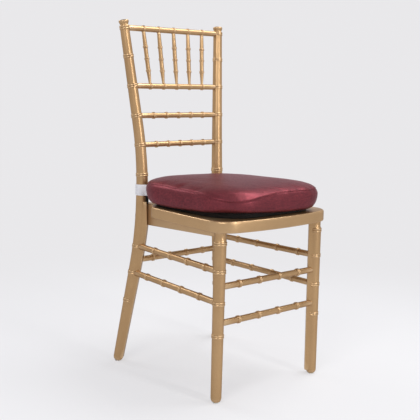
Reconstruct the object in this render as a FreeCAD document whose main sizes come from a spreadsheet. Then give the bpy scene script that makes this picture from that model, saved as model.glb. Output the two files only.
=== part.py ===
import FreeCAD, Part
import math
import os
import Sketcher

# A chiavari side chair: gilded turned frame, flat seat frame and a strapped-on cushion.
# Millimetres, +Z up, floor at z = 0. The sitter faces -Y. The origin is the centre of the
# footprint, and "left" and "right" are as seen from the front: left is -X.

Vector = FreeCAD.Vector
Placement = FreeCAD.Placement
Rotation = FreeCAD.Rotation
UP = Vector(0, 0, 1)
LEFT, RIGHT = -1, 1
SIDES = {"left": LEFT, "right": RIGHT}

doc = FreeCAD.newDocument("chiavari_chair")

# Driving dimensions: alias, millimetres (or a count), meaning
SIZES = [
    ("overall_height", 919, "floor to the middle of the finials' tops"),
    ("post_sides", 16, "flats round a turned post or leg"),
    ("bar_sides", 12, "flats round a turned bar and its sockets"),
    ("spindle_sides", 10, "flats round a spindle and its holes"),
    ("fastener_sides", 8, "flats round a bolt, screw or glide pin and its hole"),
    ("fit_clearance", 0.05, "gap all round a tenon, bolt or pin in its hole"),
    ("cope_clearance", 0.6, "gap between a bearer and the post it is shaped around"),
    ("overrun", 2, "a cut runs this far past the face that it goes through"),
    ("tenon_stop", 2, "a tenon stops this far short of the axis of the post it enters"),

    ("rear_foot_x", 182.5, "rear post axis at the floor, from the middle"),
    ("rear_foot_back", 211.6, "rear post axis at the floor, behind the origin"),
    ("knee_x", 121.2, "where the straight leg and back lines of a rear post cross"),
    ("knee_back", 161.3, "the same point, behind the origin"),
    ("knee_rise", 16.5, "the same point, above the seat frame"),
    ("knee_radius", 1180, "bend radius of the rear post at the seat"),
    ("rear_top_x", 162.3, "rear post axis at the top of the finial"),
    ("rear_top_back", 217.7, "rear post axis at the top of the finial, behind the origin"),
    ("post_foot_dia", 26, "rear post at the floor"),
    ("post_seat_dia", 32, "rear post just above the seat"),
    ("post_seat_rise", 10.5, "that thickest place above the seat frame"),
    ("post_back_dia", 28.6, "rear post at the lower back rail"),
    ("post_top_dia", 24.3, "rear post under the top ring"),

    ("finial_height", 25, "top of the finials above the top rail"),
    ("seat_ring_rise", 71, "post ring beside the cushion, above the seat frame"),
    ("lower_rail_share", 0.2058, "lowest rail, on the way from that ring to the top rail"),
    ("middle_rail_share", 0.4055, "middle rail on the same way"),
    ("spindle_rail_share", 0.6081, "rail under the spindles on the same way"),
    ("upper_ring_share", 0.8087, "post ring beside the spindles on the same way"),
    ("upper_side_rear_height", 320.3, "upper side stretcher at the rear post"),
    ("lower_side_rear_height", 247.8, "lower side stretcher at the rear post"),
    ("rear_low_ring_height", 171, "lowest ring of the rear post"),

    ("ring_half_height", 5, "ring of a post or front leg, from its middle"),
    ("ring_rise", 1.5, "ring above the post"),
    ("finial_neck_dia", 20, "neck between the top ring and the button"),
    ("finial_neck_round", 1.5, "slope from the top ring into the neck"),
    ("finial_button_dia", 26.4, "flared button on top"),
    ("finial_button_height", 14, "height of the button"),
    ("finial_top_dia", 19, "flat on top of the button"),

    ("rib_start", 12, "the flat inner side of a leg begins this far above the floor"),
    ("rear_rib_foot", 13.8, "flat inner side from the rear leg axis, at its start"),
    ("rear_rib_seat", 20, "the same under the seat"),
    ("rear_rib_peak_drop", 61.5, "its widest place, under the top of the seat frame"),
    ("front_rib", 17.4, "flat inner side from the front leg axis"),
    ("rib_width_share", 0.92, "width of the flat inner side as a share of the leg"),
    ("flat_sections", 4, "sections of a rear leg's flat inner side from the knee to the seat"),
    ("cope_sections", 3, "sections of the hollow that a bearer's ear has for its post"),
    ("side_screws", 4, "screws that rise through the two side bearers"),
    ("bend_sections", 5, "round sections of a rear post between its rings at the seat"),

    ("front_leg_x", 162.6, "front leg axis under the seat, from the middle"),
    ("front_foot_x", 166.5, "front leg axis at the floor, from the middle"),
    ("front_leg_ahead", 182, "front leg axis ahead of the origin"),
    ("front_foot_dia", 26.2, "front leg just above the floor"),
    ("front_leg_dia", 30, "front leg under its top ring"),
    ("front_neck_dia", 26.4, "front leg between its top ring and the seat"),
    ("front_tenon_dia", 20, "tenon of the front leg in the seat frame"),
    ("front_tenon_length", 18, "depth of that tenon"),
    ("shoulder_gap", 0.2, "the leaning shoulder of a front leg clears the frame by this"),
    ("front_ring_drop", 26.8, "top ring of the front leg under the seat frame"),
    ("front_neck_slope", 3, "slope from that ring into the neck"),
    ("front_ring_2", 319.8, "ring at the upper side stretcher"),
    ("front_ring_3", 243.4, "ring at the lower side stretcher"),
    ("front_ring_4", 164.5, "lowest ring"),
    ("foot_round", 9, "height of the rounded end of a leg"),
    ("foot_tip_dia", 17, "flat end of a leg"),

    ("glide_thickness", 2.5, "nylon glide under each leg"),
    ("glide_dia", 16, "nylon glide"),
    ("glide_pin_dia", 4, "pin of the glide in the leg"),
    ("glide_pin_length", 14, "pin of the glide in the leg"),

    ("stretcher_dia", 15.6, "stretchers under the seat"),
    ("stretcher_bead_dia", 19.6, "beads on the stretchers"),
    ("stretcher_bead_width", 8, "beads on the stretchers"),
    ("stretcher_beads", 4, "beads on each stretcher"),
    ("side_bead_pitch", 0.205, "bead spacing of a side stretcher over its length"),
    ("upper_side_bead_middle", 0.54, "middle of its beads from the rear post, over the length"),
    ("lower_side_bead_middle", 0.49, "the same on the lower side stretchers"),
    ("cross_bead_pitch", 0.204, "bead spacing of a front or rear stretcher over its length"),
    ("upper_front_height", 282.5, "upper front stretcher"),
    ("lower_front_height", 194, "lower front stretcher"),
    ("rear_stretcher_height", 281.5, "rear stretcher"),

    ("rail_dia", 13.6, "rails of the back"),
    ("top_rail_dia", 14.2, "top rail"),
    ("rail_bead_dia", 17.4, "beads on the rails"),
    ("rail_bead_width", 7, "beads on the rails"),
    ("spindles", 5, "spindles, and beads on each rail"),
    ("spindle_share_top", 0.157, "spindle spacing over the post spacing at the top rail"),
    ("spindle_share_low", 0.152, "the same at the other rails"),
    ("spindle_top_dia", 9, "spindle under the top rail"),
    ("spindle_waist_dia", 10.4, "spindle between its beads"),
    ("spindle_low_dia", 6.6, "spindle at its lower end"),
    ("spindle_bead_dia", 13.2, "beads on the spindles"),
    ("spindle_bead_width", 6, "beads on the spindles"),
    ("spindle_beads", 3, "beads on each spindle"),
    ("spindle_bead_pitch", 31.5, "distance between those beads"),
    ("spindle_bead_drop", 3, "the middle bead sits this far under the middle"),
    ("spindle_tenon_length", 5, "spindle end inside a rail"),

    ("seat_top", 441.5, "top of the seat frame above the floor"),
    ("frame_thickness", 28, "seat frame"),
    ("frame_half_width", 185.5, "seat frame at its widest"),
    ("frame_rear_half_width", 175.3, "seat frame where its sides end"),
    ("frame_ahead", 229.9, "seat frame's front edge ahead of the origin"),
    ("frame_front_bow", 11.6, "the front edge falls back this far at its corners"),
    ("frame_corner_x", 139, "where the front corner's curve begins"),
    ("frame_corner_radius", 55, "front corners of the seat frame"),
    ("frame_side_start", 162, "where the sides begin, ahead of the origin"),
    ("frame_side_end", 66, "where the sides end, behind the origin"),
    ("frame_side_radius", 2600, "gentle bow of the sides"),
    ("frame_rear_corner_radius", 25, "rear corners of the seat frame"),
    ("frame_rear_corner_x", 168.5, "end of the rear corner's curve"),
    ("frame_rear_corner_back", 81, "end of the rear corner's curve"),
    ("frame_notch_x", 104, "inner side of the notch around the rear post"),
    ("frame_notch_back", 149, "where the notch turns back"),
    ("frame_back", 166, "rear edge of the seat frame behind the origin"),
    ("frame_upper_bevel", 3.2, "soft upper edge of the frame, as a bevel"),
    ("frame_lower_bevel", 2.2, "soft lower edge of the frame, as a bevel"),

    ("opening_half_width", 118, "opening in the seat frame"),
    ("opening_ahead", 165, "opening in the seat frame"),
    ("opening_back", 105, "opening in the seat frame"),
    ("opening_radius", 40, "corners of that opening"),
    ("opening_corner_runs", 5, "straight runs round each of those corners"),
    ("rabbet_width", 12, "ledge that carries the seat panel"),
    ("panel_thickness", 9, "plywood seat panel"),
    ("panel_clearance", 0.3, "gap round the seat panel"),

    ("bearer_width", 20, "bearer under each side of the seat frame"),
    ("bearer_rear_depth", 35, "bearer under the frame at the rear post"),
    ("bearer_front_depth", 13, "bearer under the frame at the front leg"),
    ("bearer_ear_rise", 23.5, "ear of the bearer above the frame's underside"),
    ("bearer_ear_length", 68, "ear of the bearer ahead of the post axis"),
    ("bearer_edge_round", 4, "rounding of the bearer's ear"),
    ("rear_bearer_depth", 28, "bearer across the back"),
    ("rear_bearer_back", 147, "rear face of that bearer behind the origin"),
    ("rear_screw_x", 60, "screws in that bearer, from the middle"),

    ("bolt_dia", 6, "bolts through the rear posts"),
    ("bolt_length", 58, "from under the head"),
    ("bolt_head_dia", 10, "bolt head"),
    ("bolt_head_height", 4, "bolt head"),
    ("bolt_drop", 9.5, "bolt through a rear post, under the seat frame"),
    ("bolt_head_out", 13, "underside of the bolt head behind the post axis"),
    ("screw_dia", 4, "screws from the bearers into the seat frame"),
    ("screw_head_dia", 8, "screw head"),
    ("screw_head_height", 3, "screw head"),
    ("screw_bite", 16, "screw inside the seat frame"),
    ("screw_front", 120, "front screw ahead of the origin"),
    ("screw_rear", 60, "rear screw behind the origin"),

    ("cushion_half_width", 181, "cushion at its widest"),
    ("cushion_ahead", 226, "cushion ahead of the origin"),
    ("cushion_back", 163, "cushion behind the origin"),
    ("cushion_front_radius", 100, "front corners of the cushion"),
    ("cushion_rear_radius", 110, "rear corners of the cushion"),
    ("cushion_base_height", 10.5, "dark base under the cushion"),
    ("cushion_base_inset", 24, "dark base inside the cushion's outline"),
    ("cushion_height", 62, "cushion from its base to its crown"),
    ("cushion_corner_runs", 5, "straight runs round each corner of the cushion"),

    ("strap_rise", 31, "middle of the strap above the seat frame"),
    ("strap_width", 29, "strap"),
    ("strap_thickness", 1.2, "strap"),
    ("strap_slack", 0.4, "gap between strap and post"),
    ("strap_runs", 14, "straight runs of the strap round the post"),
    ("strap_end_gap", 0.4, "gap between the strap's ends and the cushion"),
    ("strap_ends_apart", 10, "distance between the strap's two ends"),
]

sheet = doc.addObject("Spreadsheet::Sheet", "sizes")
for row, (alias, value, meaning) in enumerate(SIZES, start=1):
    sheet.set(f"A{row}", meaning)
    sheet.set(f"B{row}", str(value))
    sheet.setAlias(f"B{row}", alias)
doc.recompute()


class Size:
    """A number together with the sheet formula that it comes from."""

    def __init__(self, value, formula):
        self.value = value
        self.formula = formula

    def joined(self, other, sign, result):
        return Size(result, f"({self.formula} {sign} {as_size(other).formula})")

    def __add__(self, other):
        return self.joined(other, "+", self.value + as_size(other).value)

    def __sub__(self, other):
        return self.joined(other, "-", self.value - as_size(other).value)

    def __mul__(self, other):
        return self.joined(other, "*", self.value * as_size(other).value)

    def __truediv__(self, other):
        return self.joined(other, "/", self.value / as_size(other).value)

    def __radd__(self, other):
        return as_size(other) + self

    def __rsub__(self, other):
        return as_size(other) - self

    def __rmul__(self, other):
        return as_size(other) * self

    def __neg__(self):
        return as_size(0) - self

    def __float__(self):
        return float(self.value)


def as_size(value):
    return value if isinstance(value, Size) else Size(float(value), f"{float(value):.9f}")


def size(alias):
    return Size(float(sheet.get(alias)), f"sizes.{alias}")


def number(alias):
    return float(sheet.get(alias))


def count(alias):
    return int(round(number(alias)))


def between(low, high, share):
    """The size that lies a share of the way from low to high."""
    return low + (high - low) * share


# Sketches, features and solids

CUTS = []


def ground_plane(body):
    return next(item for item in body.Origin.OriginFeatures if item.Role == "XY_Plane")


def lay_on(feature, body, place=Placement()):
    """Attach a sketch or primitive to its body's own XY plane, moved by place."""
    feature.AttachmentSupport = [(ground_plane(body), "")]
    feature.MapMode = "FlatFace"
    feature.AttachmentOffset = place


def bind(sketch, constraint, value):
    index = sketch.addConstraint(constraint)
    sketch.setExpression(f"Constraints[{index}]", value.formula)


def end_at(sketch, edge, point):
    """Sketcher's number (1 or 2) for the end of an edge that lies at a point."""
    first = sketch.getPoint(edge, 1).distanceToPoint(point)
    second = sketch.getPoint(edge, 2).distanceToPoint(point)
    return 1 if first < second else 2


def arc_through(start, end, radius):
    """Arc on the right-hand side of the way from start to end; a negative radius takes the left."""
    half = (end - start) * 0.5
    outward = Vector(half.y, -half.x, 0).normalize()
    depth = abs(radius) - math.sqrt(radius * radius - half.Length ** 2)
    middle = start + half + outward * math.copysign(depth, radius)
    return Part.Arc(start, middle, end)


def outline(body, name, corners, place=Placement()):
    """Closed sketch in a body, or free where body is None.

    A corner is (x, y), or (x, y, radius) where an arc leads on to the next.
    """
    if body is None:
        sketch = doc.addObject("Sketcher::SketchObject", name)
        sketch.Placement = place
    else:
        sketch = body.newObject("Sketcher::SketchObject", name)
        lay_on(sketch, body, place)
    points = [Vector(float(corner[0]), float(corner[1]), 0) for corner in corners]
    total = len(corners)
    for index, corner in enumerate(corners):
        start, end = points[index], points[(index + 1) % total]
        if len(corner) == 3:
            sketch.addGeometry(arc_through(start, end, float(corner[2])), False)
        else:
            sketch.addGeometry(Part.LineSegment(start, end), False)
    for index, corner in enumerate(corners):
        before = (index - 1) % total
        here = end_at(sketch, index, points[index])
        there = end_at(sketch, before, points[index])
        sketch.addConstraint(Sketcher.Constraint("Coincident", before, there, index, here))
        across, along = as_size(corner[0]), as_size(corner[1])
        bind(sketch, Sketcher.Constraint("DistanceX", -1, 1, index, here, across.value), across)
        bind(sketch, Sketcher.Constraint("DistanceY", -1, 1, index, here, along.value), along)
        if len(corner) == 3:
            radius = as_size(corner[2])
            if radius.value < 0:
                radius = -radius
            bind(sketch, Sketcher.Constraint("Radius", index, radius.value), radius)
    return sketch


def new_body(name):
    body = doc.addObject("PartDesign::Body", name)
    body.Label = name
    return body


def pad(body, name, sketch, height):
    feature = body.newObject("PartDesign::Pad", name)
    feature.Profile = sketch
    feature.Length = height.value
    feature.setExpression("Length", height.formula)
    return feature


def pocket(body, name, sketch, depth):
    """Cut downwards from the sketch."""
    feature = body.newObject("PartDesign::Pocket", name)
    feature.Profile = sketch
    feature.Length = depth.value
    feature.setExpression("Length", depth.formula)
    return feature


def facing(direction, twist=UP):
    """Rotation that turns +Z to a direction and keeps +Y as near as it can to twist."""
    return Rotation(Vector(), twist, direction, "ZYX")


def set_size(item, prop, value):
    """Set a property and bind it to the sheet."""
    setattr(item, prop, value.value)
    item.setExpression(prop, value.formula)


def ring(name, sides, radius, place):
    """Section of a turned piece, around the Z axis of its place."""
    section = doc.addObject("Part::RegularPolygon", name)
    section.Polygon = count(sides)
    set_size(section, "Circumradius", radius)
    section.Placement = place
    return section


def joined_sections(name, sections):
    """Solid that runs straight from each section to the next."""
    solid = doc.addObject("Part::Loft", name)
    solid.Sections = sections
    solid.Solid = True
    solid.Ruled = True
    return solid


def rod(name, radius, height, place, sides):
    """Straight rod with its corners on the radius."""
    solid = doc.addObject("Part::Prism", name)
    solid.Polygon = count(sides)
    set_size(solid, "Circumradius", radius)
    set_size(solid, "Height", height)
    solid.Placement = place
    return solid


def drill(name, start, way, radius, depth, sides):
    """Straight tool for a hole that a rod of that radius passes, however it is turned."""
    widened = radius / math.cos(math.pi / count(sides))
    return rod(name, widened, depth, along_way(start, way), sides)


def along_way(start, way):
    return Placement(start, Rotation(UP, way))


def fused(name, solids):
    whole = doc.addObject("Part::MultiFuse", name)
    whole.Label = name
    whole.Shapes = solids
    return whole


def cut_away(name, base, tools):
    """The base without the tools. The result carries the node's name."""
    whole = doc.addObject("Part::Cut", name)
    whole.Label = name
    whole.Base = base
    whole.Tool = tools[0] if len(tools) == 1 else fused(f"{name}_cuts", tools)
    CUTS.append((base, tools))
    return whole


def group(name, pieces):
    """One node that holds several equal, separate pieces."""
    compound = doc.addObject("Part::Compound", name)
    compound.Label = name
    compound.Links = pieces
    return compound


# The centre line and thickness of a rear post


def sided(x, y, z, side):
    return Vector(side * x, y, z)


class RearLine:
    """Straight leg, one arc tangent to it at the seat, and the straight back."""

    def __init__(self, side):
        foot = sided(number("rear_foot_x"), number("rear_foot_back"), 0, side)
        knee_height = number("seat_top") + number("knee_rise")
        knee = sided(number("knee_x"), number("knee_back"), knee_height, side)
        top = sided(number("rear_top_x"), number("rear_top_back"), number("overall_height"), side)
        self.foot = foot
        self.radius = number("knee_radius")
        self.leg_way = (knee - foot).normalize()
        self.back_way = (top - knee).normalize()
        self.turn = self.leg_way.getAngle(self.back_way)
        tangent = self.radius * math.tan(self.turn / 2)
        self.arc_start = knee - self.leg_way * tangent
        self.arc_end = knee + self.back_way * tangent
        inward = self.back_way - self.leg_way * self.leg_way.dot(self.back_way)
        self.inward = inward.normalize()

    def on_arc(self, angle):
        centre = self.arc_start + self.inward * self.radius
        across = self.leg_way * math.sin(angle) - self.inward * math.cos(angle)
        way = self.leg_way * math.cos(angle) + self.inward * math.sin(angle)
        return centre + across * self.radius, way

    def at(self, height):
        """Point and direction of the centre line at a height above the floor."""
        if height <= self.arc_start.z:
            return self.foot + self.leg_way * ((height - self.foot.z) / self.leg_way.z), self.leg_way
        if height >= self.arc_end.z:
            reach = (height - self.arc_end.z) / self.back_way.z
            return self.arc_end + self.back_way * reach, self.back_way
        low, high = 0.0, self.turn
        for _ in range(40):
            middle = (low + high) / 2
            if self.on_arc(middle)[0].z < height:
                low = middle
            else:
                high = middle
        return self.on_arc(low)


UNDERSIDE = size("seat_top") - size("frame_thickness")
TOP_RAIL_HEIGHT = size("overall_height") - size("finial_height")
SEAT_RING_HEIGHT = size("seat_top") + size("seat_ring_rise")
LOWER_RAIL_HEIGHT = between(SEAT_RING_HEIGHT, TOP_RAIL_HEIGHT, size("lower_rail_share"))
MIDDLE_RAIL_HEIGHT = between(SEAT_RING_HEIGHT, TOP_RAIL_HEIGHT, size("middle_rail_share"))
SPINDLE_RAIL_HEIGHT = between(SEAT_RING_HEIGHT, TOP_RAIL_HEIGHT, size("spindle_rail_share"))
UPPER_RING_HEIGHT = between(SEAT_RING_HEIGHT, TOP_RAIL_HEIGHT, size("upper_ring_share"))
FRONT_TOP_RING = UNDERSIDE - size("front_ring_drop")
REAR_LINES = {side: RearLine(side) for side in (LEFT, RIGHT)}


def post_radius(height):
    """Radius of a rear post, straight between its four measured places."""
    places = [
        (as_size(0), size("post_foot_dia")),
        (size("seat_top") + size("post_seat_rise"), size("post_seat_dia")),
        (LOWER_RAIL_HEIGHT, size("post_back_dia")),
        (TOP_RAIL_HEIGHT, size("post_top_dia")),
    ]
    height = as_size(height)
    for (low, low_dia), (high, high_dia) in zip(places, places[1:]):
        if height.value <= high.value:
            break
    return between(low_dia, high_dia, (height - low) / (high - low)) / 2


def front_leg_radius(height):
    share = as_size(height) / FRONT_TOP_RING
    return between(size("front_foot_dia"), size("front_leg_dia"), share) / 2


class FrontLine:
    """The nearly upright centre line of a front leg."""

    def __init__(self, side):
        self.foot = sided(number("front_foot_x"), -number("front_leg_ahead"), 0, side)
        underside = number("seat_top") - number("frame_thickness")
        top = sided(number("front_leg_x"), -number("front_leg_ahead"), underside, side)
        self.way = (top - self.foot).normalize()

    def at(self, height):
        return self.foot + self.way * (height / self.way.z), self.way


FRONT_LINES = {side: FrontLine(side) for side in (LEFT, RIGHT)}


def ring_corners(radius, height):
    """Outer corners of a ring, from bottom to top."""
    half = size("ring_half_height")
    return [(radius, height - half), (radius + size("ring_rise"), height), (radius, height + half)]


def tapered_bar(name, sections, start, way, sides):
    """Straight bar along a way, from the radius and distance of its sections."""
    rings = []
    for index, (radius, distance) in enumerate(sections):
        section = ring(f"{name}_section_{index}", sides, radius, Placement())
        section.Placement.Base.z = distance.value
        section.setExpression("Placement.Base.z", distance.formula)
        rings.append(section)
    bar = joined_sections(f"{name}_taper", rings)
    bar.Placement = along_way(start, way)
    return bar


def beads_on(name, start, way, radius, width, middles, sides):
    """Collars round a bar, each at its distance from the start."""
    collars = []
    for index, middle in enumerate(middles):
        place = along_way(start + way * (middle - width / 2).value, way)
        collars.append(rod(f"{name}_bead_{index}", radius, width, place, sides))
    return collars


# Shapes that both kinds of leg share

# Share of the leg's widening and share of its height, from the floor up
FOOT_SHAPE = ((0, 0), (0.62, 0.22), (0.9, 0.58), (1, 1))
BACKWARDS = Vector(0, 1, 0)


def across_line(place_and_way, twist):
    """Placement whose XY plane is square to a centre line."""
    place, way = place_and_way
    return Placement(place, facing(way, twist))


def flat_section(name, reach, half_width, place):
    corners = [(-half_width, as_size(0)), (half_width, as_size(0)), (half_width, reach), (-half_width, reach)]
    return outline(None, name, corners, place)


def glide_hole(name, line):
    """Tool for the blind hole that takes the pin of the glide."""
    start = line.at(number("glide_thickness"))[0] - UP * number("overrun")
    radius = size("glide_pin_dia") / 2 + size("fit_clearance")
    depth = size("glide_pin_length") + size("overrun") + size("fit_clearance")
    return drill(f"{name}_glide_hole", start, UP, radius, depth, "fastener_sides")


# Rear posts

LOW_POST_RINGS = [
    size("rear_low_ring_height"), size("lower_side_rear_height"), size("upper_side_rear_height"),
]
BACK_POST_RINGS = [
    SEAT_RING_HEIGHT, LOWER_RAIL_HEIGHT, MIDDLE_RAIL_HEIGHT, SPINDLE_RAIL_HEIGHT,
    UPPER_RING_HEIGHT, TOP_RAIL_HEIGHT,
]


def rear_inward(side):
    """Level direction from a rear leg to the middle of the seat."""
    return Vector(-side, -1, 0).normalize()


def rib_reach(height):
    """How far the flat inner side of a rear leg stands from its axis."""
    start, seat = size("rib_start"), size("seat_top") - size("rear_rib_peak_drop")
    if height.value <= seat.value:
        share = (height - start) / (seat - start)
        return between(size("rear_rib_foot"), size("rear_rib_seat"), share)
    share = (height - seat) / (size("seat_top") - seat)
    return between(size("rear_rib_seat"), size("post_seat_dia") / 2 - 1, share)


def post_rounds(name, side, heights, extra):
    """Round sections of a rear post, grown by extra."""
    line = REAR_LINES[side]
    return [ring(f"{name}_round_{index}", "post_sides", post_radius(height) + extra,
                 across_line(line.at(height.value), BACKWARDS)) for index, height in enumerate(heights)]


def post_flats(name, side, heights, extra):
    """Sections of the flat inner side of a rear post, grown by extra."""
    line = REAR_LINES[side]
    sections = []
    for index, height in enumerate(heights):
        place = across_line(line.at(height.value), rear_inward(side))
        half_width = post_radius(height) * size("rib_width_share") + extra
        sections.append(flat_section(f"{name}_flat_{index}", rib_reach(height) + extra, half_width, place))
    return sections


def spread(low, high, total):
    return [between(low, high, index / (total - 1)) for index in range(total)]


def foot_sections(line):
    """Rounded end of a rear leg: level on the glide, then turning square to the leg."""
    low = size("glide_thickness")
    tip, top = size("foot_tip_dia") / 2, post_radius(low + size("foot_round"))
    sections = []
    for width_share, height_share in FOOT_SHAPE:
        height = low + size("foot_round") * height_share
        point, way = line.at(height.value)
        lean = (UP * (1 - height_share) + way * height_share).normalize()
        sections.append((between(tip, top, width_share), Placement(point, facing(lean, BACKWARDS))))
    return sections


def finial_sections(line):
    """Neck and flared button on top of the top ring."""
    high, tall = size("overall_height"), size("finial_button_height")
    neck, wide, top = size("finial_neck_dia") / 2, size("finial_button_dia") / 2, size("finial_top_dia") / 2
    shape = [
        (neck, TOP_RAIL_HEIGHT + size("ring_half_height") + size("finial_neck_round")),
        (neck, high - tall),
        (wide, high - tall * 0.58),
        (wide, high - tall * 0.38),
        (between(top, wide, 0.62), high - tall * 0.12),
        (top, high),
    ]
    return [(radius, across_line(line.at(height.value), BACKWARDS)) for radius, height in shape]


def rear_post(name, side):
    """One run of round sections along the centre line, with the flat inner side joined on."""
    line = REAR_LINES[side]
    half = size("ring_half_height")
    bend_start, bend_end = LOW_POST_RINGS[-1] + half, SEAT_RING_HEIGHT - half
    bend = spread(bend_start, bend_end, count("bend_sections") + 2)[1:-1]

    def across(radius, height):
        return radius, across_line(line.at(height.value), BACKWARDS)

    sections = foot_sections(line)
    for height in LOW_POST_RINGS:
        sections += [across(*corner) for corner in ring_corners(post_radius(height), height)]
    sections += [across(post_radius(height), height) for height in bend]
    for height in BACK_POST_RINGS:
        sections += [across(*corner) for corner in ring_corners(post_radius(height), height)]
    sections += finial_sections(line)
    rounds = [ring(f"{name}_round_{index}", "post_sides", radius, place)
              for index, (radius, place) in enumerate(sections)]
    bend_low = as_size(line.arc_start.z)
    flat_heights = [size("rib_start")] + spread(bend_low, size("seat_top"), count("flat_sections"))
    flats = post_flats(name, side, flat_heights, as_size(0))
    return fused(f"{name}_turned", [joined_sections(f"{name}_turning", rounds),
                                    joined_sections(f"{name}_flat_side", flats)])


# Front legs


def front_inward(side):
    """Level direction from a front leg to the middle of the seat."""
    return Vector(-side, 1, 0).normalize()


FRONT_RINGS = [size("front_ring_4"), size("front_ring_3"), size("front_ring_2"), FRONT_TOP_RING]


def front_leg_top():
    """Shoulder of the front leg, just clear of the seat frame's underside."""
    return size("seat_top") - size("frame_thickness") - size("shoulder_gap")


def front_leg(name, side):
    """Turned leg with its flat inner side and the tenon that enters the seat frame."""
    line = FRONT_LINES[side]
    low = size("glide_thickness") + size("shoulder_gap") / 2
    shoulder = front_leg_top()
    neck = size("front_neck_dia") / 2
    sections = []
    for width_share, height_share in FOOT_SHAPE:
        radius = between(size("foot_tip_dia") / 2, front_leg_radius(low), width_share)
        sections.append((radius, low + size("foot_round") * height_share))
    for height in FRONT_RINGS:
        sections += ring_corners(front_leg_radius(height), height)
    sections.append((neck, FRONT_TOP_RING + size("ring_half_height") + size("front_neck_slope")))
    sections.append((neck, shoulder))
    rounds = [ring(f"{name}_round_{index}", "post_sides", radius,
                   across_line(line.at(height.value), BACKWARDS))
              for index, (radius, height) in enumerate(sections)]
    flats = []
    for index, height in enumerate((size("rib_start"), shoulder)):
        half_width = front_leg_radius(height) * size("rib_width_share")
        place = across_line(line.at(height.value), front_inward(side))
        flats.append(flat_section(f"{name}_flat_{index}", size("front_rib"), half_width, place))
    root = line.at((shoulder - size("overrun")).value)[0]
    tenon = rod(f"{name}_tenon", size("front_tenon_dia") / 2, size("front_tenon_length") + size("overrun"),
                along_way(root, line.way), "bar_sides")
    return fused(f"{name}_turned", [joined_sections(f"{name}_turning", rounds),
                                    joined_sections(f"{name}_flat_side", flats), tenon])


# Straight turned members between two points


class Member:
    """A beaded bar and the two sockets it needs."""

    def __init__(self, name, start, end, dia, bead_dia, bead_width, bead_shares):
        self.name = name
        self.start, self.end = start, end
        self.way = (end - start).normalize()
        self.length = (end - start).Length
        self.dia, self.bead_dia, self.bead_width = dia, bead_dia, bead_width
        self.bead_shares = bead_shares

    def at(self, share):
        return self.start + self.way * (self.length * share)

    def build(self):
        stop = size("tenon_stop")
        low = along_way(self.start + self.way * stop.value, self.way)
        bar = rod(f"{self.name}_rod", self.dia / 2, self.length - stop * 2, low, "bar_sides")
        beads = [as_size(self.length * share) for share in self.bead_shares]
        collars = beads_on(self.name, self.start, self.way, self.bead_dia / 2, self.bead_width,
                           beads, "bar_sides")
        return fused(f"{self.name}_turned", [bar] + collars)

    def socket(self, at_start):
        """Tool for this bar's socket in the post or leg at one of its ends."""
        origin = self.start if at_start else self.end
        way = self.way if at_start else -self.way
        stop = size("tenon_stop") - size("fit_clearance")
        radius = self.dia / 2 + size("fit_clearance")
        word = "start" if at_start else "end"
        return drill(f"{self.name}_{word}_socket", origin + way * stop.value, way, radius,
                     size("post_seat_dia"), "bar_sides")


def even_shares(beads, pitch, middle=0.5):
    return [middle + (index - (beads - 1) / 2) * pitch for index in range(beads)]


def stretcher(name, start, end, pitch_alias, middle):
    shares = even_shares(count("stretcher_beads"), number(pitch_alias), middle)
    return Member(name, start, end, size("stretcher_dia"), size("stretcher_bead_dia"),
                  size("stretcher_bead_width"), shares)


def side_stretcher(name, side, rear_alias, front_alias, middle_alias):
    start, _ = REAR_LINES[side].at(number(rear_alias))
    end, _ = FRONT_LINES[side].at(number(front_alias))
    return stretcher(name, start, end, "side_bead_pitch", number(middle_alias))


def cross_stretcher(name, lines, alias):
    start, _ = lines[LEFT].at(number(alias))
    end, _ = lines[RIGHT].at(number(alias))
    return stretcher(name, start, end, "cross_bead_pitch", 0.5)


def back_rail(name, height, dia_alias, share_alias):
    start, _ = REAR_LINES[LEFT].at(height.value)
    end, _ = REAR_LINES[RIGHT].at(height.value)
    shares = even_shares(count("spindles"), number(share_alias))
    return Member(name, start, end, size(dia_alias), size("rail_bead_dia"), size("rail_bead_width"), shares)


SIDE_STRETCHERS = [
    side_stretcher("upper_side_stretcher_left", LEFT, "upper_side_rear_height",
                   "front_ring_2", "upper_side_bead_middle"),
    side_stretcher("lower_side_stretcher_left", LEFT, "lower_side_rear_height",
                   "front_ring_3", "lower_side_bead_middle"),
]
FRONT_STRETCHERS = [
    cross_stretcher("upper_front_stretcher", FRONT_LINES, "upper_front_height"),
    cross_stretcher("lower_front_stretcher", FRONT_LINES, "lower_front_height"),
]
REAR_STRETCHER = cross_stretcher("rear_stretcher", REAR_LINES, "rear_stretcher_height")
TOP_RAIL = back_rail("top_rail", TOP_RAIL_HEIGHT, "top_rail_dia", "spindle_share_top")
SPINDLE_RAIL = back_rail("spindle_rail", SPINDLE_RAIL_HEIGHT, "rail_dia", "spindle_share_low")
MIDDLE_RAIL = back_rail("middle_rail", MIDDLE_RAIL_HEIGHT, "rail_dia", "spindle_share_low")
LOWER_RAIL = back_rail("lower_rail", LOWER_RAIL_HEIGHT, "rail_dia", "spindle_share_low")
BACK_RAILS = [TOP_RAIL, SPINDLE_RAIL, MIDDLE_RAIL, LOWER_RAIL]


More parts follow.
